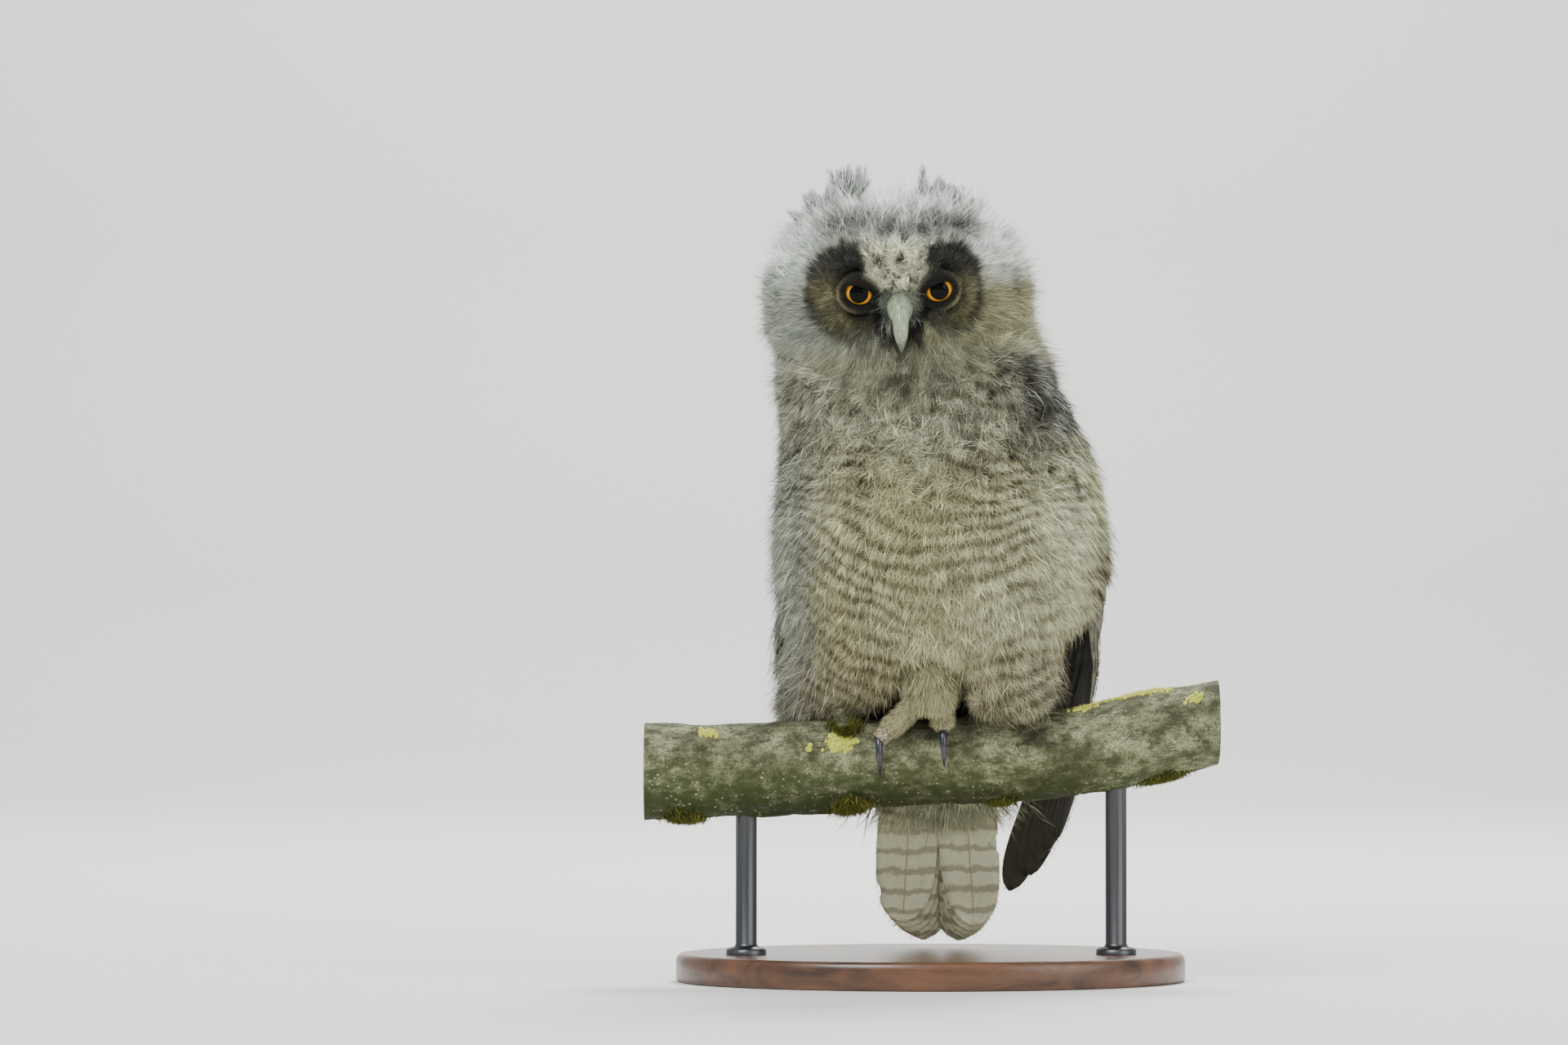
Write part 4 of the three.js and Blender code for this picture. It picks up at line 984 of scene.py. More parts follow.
# Bill. Smooth grey-green horn, hooked and narrow, with a soft cere and open nostrils at its root;
# the lower half closes inside the upper along the line of the mouth.
horn = Finish("bill horn", Roughness=0.3, Coat_Weight=0.25, Coat_Roughness=0.2)
horn_z = horn.part(horn.place(), 2)
horn_flow = horn.noise(0.0016, 3, 0.6, horn.place((1.6, 1, 0.35)))
horn_tone = horn.blend(horn_flow.fade(0.3, 0.7), tone(112, 122, 98), tone(166, 178, 148))
horn_tone = horn.blend(1 - horn_z.fade(0.262, 0.272), horn_tone, tone(70, 74, 66))
horn.feed(Base_Color=horn_tone, Normal=horn.bump(horn_flow, 0.00012, 0.4), Roughness=0.24 + horn_flow * 0.2)
BILL_PATH = np.array([(0, -33, 5), (0, -44, 3), (0, -50.5, -2), (0, -53, -8.5), (0, -50.5, -15)]) / 1000
BILL_HALF = np.array([4.7, 4.6, 3.5, 2.7, 0.45]) / 1000


def bill_shape(along, turn):
    """A crest along the top and a slight swelling of the cere over the nostrils."""
    crest = 0.07 * np.exp(-((np.angle(np.exp(1j * (turn - np.pi))) / 0.5) ** 2))
    cere = 0.07 * np.exp(-(((along - 0.32) / 0.12) ** 2))
    step = 0.14 * (1 - smooth(0.40, 0.48, along))
    return 1 + crest + cere + step


upper = from_head(tube(BILL_PATH, BILL_HALF, 56, 60, ridge=bill_shape))
bill_top = capped("bill_top", upper, horn.material)
for sign in (1, -1):
    hole_path = np.array([(5.2, -53.4, -3.4), (3.9, -52.3, -3.2), (2.0, -50.8, -3.0)]) * (sign, 1, 1) / 1000
    hole = from_head(tube(hole_path, [0.0008, 0.0010, 0.0008], 16, 8))
    cutter = capped(f"nostril_{sign}", hole, horn.material)
    cut = bill_top.modifiers.new("nostril", "BOOLEAN")
    cut.operation, cut.solver, cut.object = "DIFFERENCE", "EXACT", cutter
    applied(bill_top)
    bpy.data.objects.remove(cutter)
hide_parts("bill_upper")
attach(bill_top, "root")
LOWER_PATH = np.array([(0, -36, -3), (0, -43, -8), (0, -47.5, -12.5)]) / 1000
lower = from_head(tube(LOWER_PATH, np.array([4.0, 3.0, 1.2]) / 1000, 40, 30, flat=0.62))
bill_under = capped("bill_under", lower, horn.material)
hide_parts("bill_lower")
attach(bill_under, "root")

# Feet. The right foot grips the branch with two toes in front and two behind, the left is drawn
# up closed under the belly. Pads and scales show near the claws, the rest is short tan feathering.
TOES = {
    "toe_inner": ([(2, 33, 17), (4, 42, 9.5), (4.3, 49, 5.2), (4.4, 56, 3.8)], 4.5),
    "toe_middle": ([(-4, 35, 17), (-11, 43, 9.5), (-18, 53, 5.2), (-22.5, 63, 3.7)], 4.4),
    "toe_hind": ([(3, -6, 7), (6, -30, 4.6), (8, -50, 4), (9, -62, 3.6)], 3.9),
    "toe_outer": ([(-5, -6, 7), (-12, -28, 5), (-17, -50, 4.2), (-20, -66, 3.6)], 4.1),
}
SHANK = ([(-3, -20, 154), (-2.5, -30, 142), (-1, -37.0, 128), (-1, -35, 119)], (8, 9.0, 10, 7.5))
# Share of a claw's length, height over the toe's end, share of its full thickness.
CLAW_CURVE = [
    (-0.12, 0.2, 1.02), (0.1, 0.85, 1.0), (0.3, 0.9, 0.92), (0.5, 0.4, 0.76), (0.68, -0.6, 0.56),
    (0.85, -1.7, 0.33), (1, -2.6, 0.06),
]
FOOT_FEATHERS = 44000
FIST_X, FIST_SPREAD = 25, 6.6
FIST_TOE = [(0, -28, 125), (0, -36.5, 123.5), (0, -38.5, 119), (0, -34, 117)]
FIST_CLAW = [(0, -35.5, 117), (0, -31, 114.9), (0, -26.5, 114.8), (0, -23.5, 116.4)]

scales = Finish("toe scales", Roughness=0.55)
plate_inputs = {"Vector": scales.place(), "Scale": 760.0}
plates = scales.add("ShaderNodeTexVoronoi", {"feature": "DISTANCE_TO_EDGE"}, plate_inputs)
blotch = scales.noise(0.002, 3, 0.6)
scale_tone = scales.blend(blotch.fade(0.35, 0.65), tone(150, 142, 108), tone(196, 190, 156))
scale_tone = scales.blend(1 - plates.fade(0.02, 0.16), scale_tone, tone(96, 76, 56))
scales.feed(Base_Color=scale_tone, Normal=scales.bump(plates.fade(0.0, 0.2), 0.0003, 0.8))
claw_horn = Finish("claw horn", Roughness=0.22, Coat_Weight=0.4, Coat_Roughness=0.12)
streak = claw_horn.noise(0.0012, 3, 0.6, claw_horn.place((2, 1, 0.4)))
claw_horn.feed(Base_Color=claw_horn.blend(streak.fade(0.35, 0.7), tone(20, 22, 28), tone(62, 66, 78)))


def toe_ridge(along, turn):
    """Rings of scutes on top and three soft pads below."""
    rings = 0.035 * np.abs(np.sin(along * np.pi * 7)) * (np.cos(turn) > -0.2)
    pads = 0.14 * np.abs(np.sin(along * np.pi * 2.5 + 0.4)) * np.clip(-np.cos(turn), 0, 1)
    return 1 + rings + pads


fuzz_roots, fuzz_ways, fuzz_lifts, fuzz_lengths, fuzz_weights = [], [], [], [], []


def fuzz(rows_of_points, share, first, last, weight=1.0):
    """Keeps the points of a toe or leg, up to a share of its length, as roots of feathering whose
    length runs from first to last; weight says how densely they are used."""
    rows = rows_of_points.shape[0]
    centre = rows_of_points.mean(1, keepdims=True)
    way = np.gradient(centre, axis=0)
    lift = rows_of_points - centre
    keep = slice(0, max(int(rows * share), 2))
    for store, value in ((fuzz_roots, rows_of_points), (fuzz_ways, way + 0 * lift), (fuzz_lifts, lift)):
        store.append(value[keep].reshape(-1, 3))
    reach = first + (last - first) * np.linspace(0, 1, rows)[:, None] + 0 * lift[..., 0]
    fuzz_lengths.append(reach[keep].reshape(-1))
    fuzz_weights.append(np.full(len(fuzz_lengths[-1]), weight))


def toe_point(x, angle, lift):
    """One point by the perch, from millimetres and degrees."""
    return perch_point(np.array([x / 1000]), np.array([math.radians(angle)]), lift / 1000)[0]


def blade(along, turn):
    return 1 + 0.10 * np.cos(2 * turn) * (1 - along)


for name, (route, thick) in TOES.items():
    path = [toe_point(*row) for row in route]
    radii = np.array([0.9, 0.97, 0.93, 0.74]) * thick / 1000
    skin_rows = tube(path, radii, 40, 56, ridge=toe_ridge)
    fuzz(skin_rows, 0.66, 0.0042, 0.0016)
    toe = capped(f"{name}_skin", skin_rows, scales.material)
    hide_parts(name)
    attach(toe, "root")
    x, angle, lift = route[-1]
    way = math.copysign(1, angle)
    claw_path = [toe_point(x + 0.6 * t, angle + way * 42 * t, lift + rise) for t, rise, _ in CLAW_CURVE]
    claw_radii = np.array([row[2] for row in CLAW_CURVE]) * 1.75 / 1000
    nail = tube(claw_path, claw_radii, 28, 44, ridge=blade)
    claw = capped(f"{name.replace('toe', 'claw')}_horn", nail, claw_horn.material)
    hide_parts(name.replace("toe", "claw"))
    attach(claw, "root")

shank = tube(np.array(SHANK[0]) / 1000, np.array(SHANK[1]) / 1000, 48, 40, flat=0.85)
fuzz(shank, 1.0, 0.0095, 0.0060, 3.0)
leg = capped("shank_skin", shank, scales.material)
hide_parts("foot_right")
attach(leg, "root")

for place in (-1, 0, 1):
    shift = np.array([FIST_X + FIST_SPREAD * place, 0.9 * abs(place), 0.9 * abs(place)])
    radii = np.array([3.6, 3.7, 3.5, 3.1]) / 1000
    curled = tube((np.array(FIST_TOE) + shift) / 1000, radii, 36, 40, ridge=toe_ridge)
    fuzz(curled, 0.55, 0.004, 0.003)
    toe = capped(f"fist_toe_{place + 2}", curled, scales.material)
    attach(toe, "root")
    if place == 0:
        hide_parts("foot_left")
    nail = tube((np.array(FIST_CLAW) + shift) / 1000, np.array([1.6, 1.5, 1.0, 0.15]) / 1000, 24, 30)
    claw = capped(f"fist_claw_{place + 2}", nail, claw_horn.material)
    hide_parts(f"claw_left_{place + 2}")
    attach(claw, "root")

# Short tan feathering clothes the leg and the toes down to their last joint.
down_finish = Finish("down", Roughness=0.92, Sheen_Weight=0.10, Sheen_Roughness=0.6, Specular_IOR_Level=0.25)
wisp = down_finish.noise(0.0016, 2, 0.6).fade(0.3, 0.75)
down_finish.feed(Base_Color=down_finish.blend(wisp * 0.12, marked(down_finish), tone(60, 54, 42)))
roots, ways, lifts, reach = map(np.concatenate, (fuzz_roots, fuzz_ways, fuzz_lifts, fuzz_lengths))
random = np.random.default_rng(21)
shares = np.concatenate(fuzz_weights)
pick = np.searchsorted(np.cumsum(shares) / shares.sum(), random.random(FOOT_FEATHERS))
roots = roots[pick] + random.normal(0, 0.00025, (len(pick), 3))
ways, lifts = unit(ways[pick]), unit(lifts[pick])
ways = unit(ways + random.normal(0, 0.20, ways.shape))
lengths = reach[pick] * random.uniform(0.7, 1.15, len(pick))
fuzz_tone = mixed(DOWN["buff"] * 0.95, DOWN["cream"] * (0.98, 0.92, 0.80), random.random(len(pick)))
fuzz_tone *= random.uniform(0.30, 1.30, (len(pick), 1))
# Each strand darkens towards its foot: partly its own darker base, partly painted shade among the feathering.
fuzz_tones = np.stack([fuzz_tone * 0.42, fuzz_tone * 0.92, fuzz_tone * 1.05], 1)
foot_shape = (roots - lifts * 0.0004, ways, lifts * 0.6, lengths, 0.00036)
foot_down = tufted("foot_feathering", *foot_shape, fuzz_tones, down_finish.material, straight=True)
soften(foot_down, lifts, 0.4)
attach(foot_down, "root")

# Coat of the body. Loose down in two depths: soft broad blades that carry the markings, and over
# them fine pale-tipped filaments that curl free. It hangs down and outwards from the breastbone.
QUICK = 1.0
hide.calc_loop_triangles()
tri = stored(hide.loop_triangles, "vertices", 3, np.int32)
tri_loops = stored(hide.loop_triangles, "loops", 3, np.int32)
bake = stored(hide.uv_layers["OFBake"].data, "uv", 2)[tri_loops]
corners = co[tri]
area = np.linalg.norm(np.cross(corners[:, 1] - corners[:, 0], corners[:, 2] - corners[:, 0]), axis=1) / 2
middle = corners.mean(1)
middle_head = in_head(middle)


def along_skin(way, normal):
    return unit(way - normal * np.sum(way * normal, axis=1, keepdims=True), 1e-9)


def on_head(points):
    """0 on the body, 1 on the head, with a wide soft change at the neck."""
    head = in_head(points)
    return smooth(-0.052, -0.022, head[:, 2] + 0.30 * head[:, 1])


def on_face(points):
    head = in_head(points)
    wide = (np.abs(head[:, 0]) / 0.048) ** 2 + ((head[:, 2] - 0.002) / 0.038) ** 2
    return smooth(0.014, 0.030, -head[:, 1]) * (1 - smooth(0.62, 1.08, wide))


def lie(points, normals):
    """The way the coat lies at each root: down the body, back over the crown, off the eyes."""
    side, _ = body_axes(points[:, 0] - 0.004, points[:, 1])
    one = np.ones(len(points))
    spread = 0.42 + 0.35 * smooth(0.150, 0.125, points[:, 2])
    body = np.stack([np.sign(side) * spread * smooth(0.004, 0.05, np.abs(side)), 0.05 * one, -one], 1)
    head = in_head(points)
    crown = np.stack([head[:, 0] * 14, 0.35 * one, 0.5 - 1.2 * smooth(0.02, -0.02, head[:, 2])], 1)
    from_eye = np.stack([head[:, 0] - np.sign(head[:, 0]) * 0.0125, 0 * one, head[:, 2] - 0.0045], 1)
    from_eye = unit(from_eye, 1e-6)
    centre = (1 - smooth(0.004, 0.010, np.abs(head[:, 0])))[:, None]
    up = np.stack([0 * one, 0 * one, np.where(head[:, 2] > -0.004, 1, -1)], 1)
    face = from_eye * (1 - centre) + up * centre
    face_share, head_share = on_face(points)[:, None], on_head(points)[:, None]
    headed = (unit(crown) * (1 - face_share) + face * face_share) @ HEAD_ROWS.T
    return along_skin(unit(body) * (1 - head_share) + headed * head_share, normals)


def coat_length(points):
    low = smooth(0.150, 0.120, points[:, 2])
    leg = np.exp(-(((points[:, 0] + 0.002) / 0.015) ** 4))
    leg = leg * smooth(0.146, 0.134, points[:, 2]) * smooth(-0.010, -0.022, points[:, 1])
    breast = smooth(0.200, 0.225, points[:, 2])
    body = (0.0128 + 0.0045 * low * smooth(0.01, -0.04, points[:, 0])) * (1 - 0.45 * leg) * (1 - 0.2 * breast)
    head = in_head(points)
    tufts = np.exp(-(((np.abs(head[:, 0]) - 0.025) / 0.012) ** 2) - ((head[:, 1] / 0.013) ** 2))
    crown = 0.0124 + 0.0030 * tufts * (head[:, 2] > 0)
    gap = eye_gap(points)
    outer = np.maximum(smooth(-0.009, -0.016, head[:, 2]), smooth(0.018, 0.026, gap))
    face = 0.0030 + 0.0042 * smooth(0.009, 0.022, gap) + 0.0040 * outer
    head_share, face_share = on_head(points), on_face(points)
    return (body * (1 - head_share) + crown * head_share) * (1 - face_share) + face * face_share


def coat_rise(points):
    head_share, face_share = on_head(points), on_face(points)
    top = smooth(0.018, 0.036, in_head(points)[:, 2])
    outer = smooth(-0.030, -0.055, points[:, 0]) * smooth(0.175, 0.145, points[:, 2])
    body = 0.85 + 0.5 * outer + 0.25 * head_share + 0.9 * top * head_share
    chin = np.maximum(smooth(-0.009, -0.016, in_head(points)[:, 2]), smooth(0.018, 0.026, eye_gap(points)))
    face = 0.30 + 0.35 * smooth(0.009, 0.018, eye_gap(points)) + 0.5 * chin
    return body * (1 - face_share) + face * face_share


def sow(mask, count, seed):
    """Roots scattered evenly over part of the skin, with their normals and places on OFBake."""
    random = np.random.default_rng(seed)
    weight = np.where(mask, area, 0)
    chosen = np.searchsorted(np.cumsum(weight) / weight.sum(), random.random(int(count * QUICK)))
    a, b = random.random((2, len(chosen), 1))
    flip = (a + b) > 1
    a, b = np.where(flip, 1 - a, a), np.where(flip, 1 - b, b)

    def spread(values):
        first = values[:, 0]
        return first + (values[:, 1] - first) * a + (values[:, 2] - first) * b

    return spread(corners[chosen]), unit(spread(facing[tri[chosen]])), spread(bake[chosen]), random


def gathered(roots, ways, lengths, cell, pull, random):
    """Turns each strand towards the tip that it shares with its neighbours, so tufts form."""
    key = np.floor(roots / cell + random.uniform(0, 1, 3)).astype(np.int64)
    _, tuft = np.unique(key, axis=0, return_inverse=True)
    tuft = tuft.ravel()
    many = np.bincount(tuft)[:, None]
    centre = np.stack([np.bincount(tuft, roots[:, n]) for n in range(3)], 1) / many
    heading = np.stack([np.bincount(tuft, ways[:, n]) for n in range(3)], 1) / many
    heading += random.normal(0, 0.5 if pull < 0.6 else 0.9, heading.shape)
    reach = lengths[:, None] * 1.05
    goal = centre[tuft] + heading[tuft] * reach
    return unit((1 - pull) * ways + pull * (goal - roots) / reach, 1e-9), tuft


def grow(
    name, roots, normals, patches, random, way, length, rise, width,
    cell, pull, wild, fine, straight=False, tint=None,
):
    """One piece of coat. Fine filaments stand freer than the blades below them, and are paler."""
    ways = along_skin(way + random.normal(0, wild, roots.shape), normals)
    stray = (random.random(len(roots)) < 0.07) & fine
    lengths = length * random.uniform(0.70, 1.15, len(roots)) * (1 + 0.4 * stray)
    ways, tuft = gathered(roots, ways, lengths, cell, pull, random)
    ways = along_skin(ways, normals)
    lift = rise * random.uniform(0.6, 1.3, len(roots)) * (1 + 0.5 * stray)
    woolly = "crown" in name or "nape" in name
    curl = random.normal(0, 0.85 if fine else 0.2, roots.shape)
    fall = (0.9 if woolly else 0.25) if fine else 0.05
    bend = unit(along_skin(ways + (0, 0, -0.25) + curl, normals) + normals * fall)
    droop = 0.55 if woolly else 0.6
    first = (ways + normals * lift[:, None]) / np.sqrt(1 + lift**2)[:, None]
    second = first * (1 - droop) + bend * droop
    half = lengths[:, None] / 2
    tips = roots + (first + unit(second)) * half * 0.96
    inner, colour = plumage(roots + first * half), plumage(tips)
    waves = [barring(roots), barring(roots + first * half), barring(tips)]
    late = random.normal(0, 0.07, len(roots))
    for wave in waves:
        wave[:, 0] += late
    if tint is not None:
        inner = colour = mixed(colour, tint, np.full(len(roots), 0.88))
    wide = 0.34 + 0.26 * on_face(roots)
    each = 1 + wide * random.uniform(-1, 1, len(roots))
    each = each * random.uniform(0.60, 1.34, tuft.max() + 1)[tuft]
    widths = width * random.uniform(0.7, 1.25, len(roots))
    # Each strand darkens towards its foot: partly the down's own darker base, partly painted shade deep in
    # the coat.
    if fine:
        light = fleck(tips, random)[:, None]
        for wave, share in zip(waves, (0, 0.25, 0.55)):
            wave[:, 1] *= 1 - share * np.clip(light[:, 0], 0, 1)
        pale = DOWN["white"] * 0.22 + colour * 1.25 if tint is None else colour * 1.5
        widths *= 0.8 + 0.4 * (light[:, 0] > 0)
        at_bend = inner * 0.72 + (pale - inner * 0.72) * light * 0.4
        at_tip = colour * 0.82 + (pale - colour * 0.82) * light
        tones = np.stack([inner * 0.30, at_bend, at_tip], 1)
    else:
        tones = np.stack([inner * 0.20, inner * 0.52, colour * 0.78], 1)
    tones *= each[:, None, None]
    shape = (roots - normals * 0.0006, ways, normals * lift[:, None], lengths, widths)
    made = tufted(name, *shape, tones, down_finish.material, patches, droop, bend, straight, waves)
    soften(made, normals + ways * 0.15)
    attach(made, "root")


def fleck(points, random):
    """How white a filament's tip is: peppered on the breast, softer elsewhere."""
    breast = smooth(0.196, 0.226, points[:, 2])
    lit = random.random(len(points)) < 0.56 - 0.06 * breast
    return lit * random.uniform(0.5, 1.0, len(points)) * (1 - 0.45 * on_face(points)) - 0.25 * breast * ~lit


_, ahead = body_axes(middle[:, 0] - 0.004, middle[:, 1])
face_here, head_here = on_face(middle) > 0.5, on_head(middle) > 0.5
body_here = ~head_here & ~face_here
front, height = ahead > -0.008, middle[:, 2]
COAT_PARTS = [
    # name, where, broad blades, fine filaments
    ("breast", body_here & front & (height > 0.205), 26000, 47000),
    ("belly", body_here & front & (height <= 0.205) & (height > 0.160), 26000, 48000),
    ("lap", body_here & front & (height <= 0.160) & (height > 0.132), 22000, 36000),
    ("vent", body_here & (height <= 0.132), 28000, 37000),
    ("upper_back", body_here & ~front & (height > 0.185), 32000, 34000),
    ("lower_back", body_here & ~front & (height <= 0.185) & (height > 0.132), 26000, 26000),
    ("crown", head_here & ~face_here & (middle_head[:, 1] < 0.004), 38000, 51000),
    ("nape", head_here & ~face_here & (middle_head[:, 1] >= 0.004), 30000, 30000),
]
for n, (name, where, blades, filaments) in enumerate(COAT_PARTS):
    for fine, count in ((False, blades), (True, filaments)):
        roots, normals, patches, random = sow(where, count, 10 * n + fine)
        way, length, rise = lie(roots, normals), coat_length(roots), coat_rise(roots)
        wild = (0.42 if fine else 0.22) + (0.30 * smooth(0.200, 0.225, roots[:, 2]))[:, None]
        width = (0.00029 if name in ("crown", "nape") else 0.00035) if fine else 0.00074
        kind = "filaments" if fine else "blades"
        reach = length * (0.92 if fine else 1.0)
        lift = rise * (1.05 if fine else 0.75)
        woolly, behind = name in ("crown", "nape", "breast"), "back" in name or name == "nape"
        cell, pull = (0.0040, 0.66) if woolly else (0.0034 if fine else 0.0048, 0.46)
        sown = (roots, normals, patches, random)
        shape = (way, reach, lift, width, cell, pull, wild, fine)
        grow(f"{name}_{kind}", *sown, *shape, straight=not fine or behind)

# Face. Short stiff feathers ray out from the eyes over black skin, woolly curls fill the wedge
# between the brows, and long black bristles lie forward along both sides of the bill.
roots, ways, lifts, lengths, tones = (np.concatenate(part) for part in zip(*lid_sets))
lid_shape = (roots, ways, lifts, lengths, 0.00020)
lashes = tufted("lid_feathers", *lid_shape, tones, down_finish.material, straight=True)
soften(lashes, lifts / 0.35, 0.6)
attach(lashes, "root")
open_eye = eye_gap(middle) < 0.0062
reach, rise_to = np.abs(middle_head[:, 0]), middle_head[:, 2]
bill_root = (reach < 0.0040) & (rise_to < 0.001) & (rise_to > -0.018)
wedge_here = (reach < 0.003 + 0.42 * np.clip(rise_to, 0, 1)) & (rise_to > 0.001)
rays_here = face_here & ~open_eye & ~bill_root & ~wedge_here
beard_here = face_here & (reach > 0.0030) & (reach < 0.0150 + 0.46 * (rise_to - 0.008))
beard_here = beard_here & (rise_to < 0.010) & (rise_to > -0.009)
cere_here = face_here & (reach < 0.0065) & (rise_to > -0.002) & (rise_to < 0.011)
FACE_PARTS = [
    # name, where, count, fine, width, cell, pull, wildness, length, rise, forward, tint
    ("face_rays", rays_here, 50000, False, 0.00034, 0.0022, 0.25, 0.14, 1, 1, 0, None),
    ("face_filaments", rays_here, 56000, True, 0.00017, 0.0018, 0.3, 0.20, 1, 1.1, 0, None),
    ("forehead_curls", face_here & wedge_here, 21000, True, 0.00028, 0.0034, 0.8, 0.8, 0.85, 2.6, 0, None),
    ("beard", beard_here, 12000, False, 0.00028, 0.003, 0.5, 0.25, 1.25, 1.6, 1, DOWN["black"] * 0.5),
    ("cere_bristles", cere_here, 8000, True, 0.00026, 0.002, 0.4, 0.45, 2.6, 3.0, 1, DOWN["grey"] * 0.8),
]
for n, (name, where, count, *kind) in enumerate(FACE_PARTS):
    fine, width, cell, pull, wild, longer, higher, forward, tint = kind
    roots, normals, patches, random = sow(where, count, 200 + n)
    way, length, rise = lie(roots, normals), coat_length(roots) * longer, coat_rise(roots) * higher
    if forward:
        way = np.tile([0.0, -0.30, -1.0], (len(roots), 1)) - (roots[:, :1] - HEAD_AT.x) * (12, 0, 0)
    shape = (way, length, rise, width, cell, pull, wild, fine)
    grow(name, roots, normals, patches, random, *shape, straight="face" in name, tint=tint)

# Wings. Folded against the flanks: flight feathers and coverts in tiers, each a stiff vane on a
# horn shaft, buff with dark bars and mottles, their edges frayed. They root under the down.
BODY_ROUND = 2.3
# The body's ovals: height, half width, reach to the front and to the back, x and y of the middle.
WING_ROWS = [
    (30, 42, 40, 32, 4.3, 20), (75, 56, 44, 36, 4.3, 18), (110, 62, 48, 40, 4.3, 16),
    (134, 65, 52, 48, 4, 8), (142, 65, 54, 51, 4.0, 2), (156, 67.5, 58, 54, 3.2, 0),
    (177, 69, 60, 56, 1.4, -2), (208, 66.5, 58, 54, -0.2, -3), (229, 63.5, 54, 52, -2.4, -3),
    (250, 61, 49, 50, -5, -3), (268, 56, 42, 47, -7.5, -2), (286, 48, 34, 42, -9.5, 0),
]
# How much of the oval's width a wing's lower end takes, how far its tips turn back in degrees, and
# the angle in front of which it lies under the down.
WING_TUCK = {"left": 1.0, "right": 0.6}
WING_TURN = {"left": 0, "right": 26}
WING_TUCKED = {"left": 88, "right": 142}
# A tier runs from its front feather to its back one: count, roots and tips as angle round the
# body and height, half width, how far it stands off, and how its ground colour is mixed.
WING_TIERS = [
    ("primary", 8, (92, 182), (118, 166), (113, 60), (150, 38), 8.8, 1.4, (0.66, 0.60, 0.46)),
    ("secondary", 7, (98, 196), (146, 202), (120, 88), (154, 122), 9.6, 2.8, (0.74, 0.68, 0.54)),
    ("greater", 8, (86, 216), (146, 226), (97, 160), (152, 184), 8.6, 3.7, (0.86, 0.80, 0.66)),
    ("median", 7, (88, 238), (140, 240), (92, 200), (146, 212), 8.2, 4.7, (0.95, 0.92, 0.82)),
]
# Place along a feather, share of its full width.
VANE_WIDTHS = [
    (0, 0.2), (0.08, 0.5), (0.25, 0.88), (0.5, 1), (0.78, 0.96), (0.9, 0.8), (0.96, 0.55), (0.99, 0.28),
    (1, 0.06),
]
VANE_ROWS, VANE_COLUMNS, VANE_THICK = 46, 9, 0.45
SHAFT_ROWS, SHAFT_AROUND, FREE_BARBS = 22, 6, 110
VANE_BAR, BARB_GAP = 0.0088, 0.0006


def barred(name, dark, cover, slope, narrow):
    """Barbs at a slant, and dark bars 9 mm apart that slope forward to the edge of the vane."""
    finish = Finish(name, Roughness=0.62, Sheen_Weight=0.12, Sheen_Roughness=0.5)
    at = finish.attribute("vane", "Vector")
    ground = finish.attribute("plumage", "Color")
    run, across, lot = (finish.part(at, n) for n in range(3))
    off_shaft = across.apply("ABSOLUTE")
    ripple = finish.noise(0.006, 3, 0.6)
    speckle = finish.noise(0.0012, 3, 0.7, finish.place((1, 1, 0.6)))
    phase = (run + off_shaft * slope) * (2 * math.pi / VANE_BAR) + ripple * 4.2 + lot * 6.0
    bar = phase.apply("SINE").fade(narrow, narrow + 0.5) * (0.9 - speckle * 0.4)
    barb = (run - off_shaft * 1.1) * (2 * math.pi / BARB_GAP)
    barb = barb.apply("SINE") * 0.5 + 0.5
    made = finish.blend(bar * cover, ground, dark)
    made = finish.blend(speckle.fade(0.52, 0.75) * 0.4 * cover, made, dark)
    made = finish.blend(barb * 0.10, made, tone(220, 212, 186))
    finish.feed(Base_Color=made, Normal=finish.bump(barb + speckle * 0.5, 0.00012, 0.6))
    return finish.material


wing_vane = barred("barred wing vane", tone(38, 33, 26), 0.94, 0.35, -0.55)
tail_vane = barred("barred tail vane", tone(104, 96, 72), 0.80, 0.06, 0.35)
shaft_finish = Finish("feather shaft", Roughness=0.4, Base_Color=tone(150, 132, 98))
shaft_grain = shaft_finish.noise(0.0009, 2, 0.5)
shaft_finish.feed(Base_Color=shaft_finish.blend(shaft_grain, tone(140, 126, 96), tone(206, 198, 168)))


def oval_point(rows, widen, angle, height, lift):
    """Points on the rounded oval of the body at a height, in millimetres; lift stands off it."""
    wide, front, back, x, y = np.moveaxis(curve_through(rows, height), -1, 0)
    power = lambda v: np.sign(v) * np.abs(v) ** (2 / BODY_ROUND)
    across = (wide * widen + lift) * power(np.sin(angle))
    along = -(np.where(np.cos(angle) > 0, front, back) + lift) * power(np.cos(angle))
    turn = np.array([math.cos(BODY_TURN), math.sin(BODY_TURN)])
    x, y = x + across * turn[0] - along * turn[1], y + across * turn[1] + along * turn[0]
    return np.stack([x, y, height + 0 * across], -1)


def wing_point(side, angle, height, lift):
    held = WING_TUCK[side] + (1 - WING_TUCK[side]) * smooth(60, 150, height)
    return oval_point(WING_ROWS, held, (1 if side == "left" else -1) * angle, height, lift)


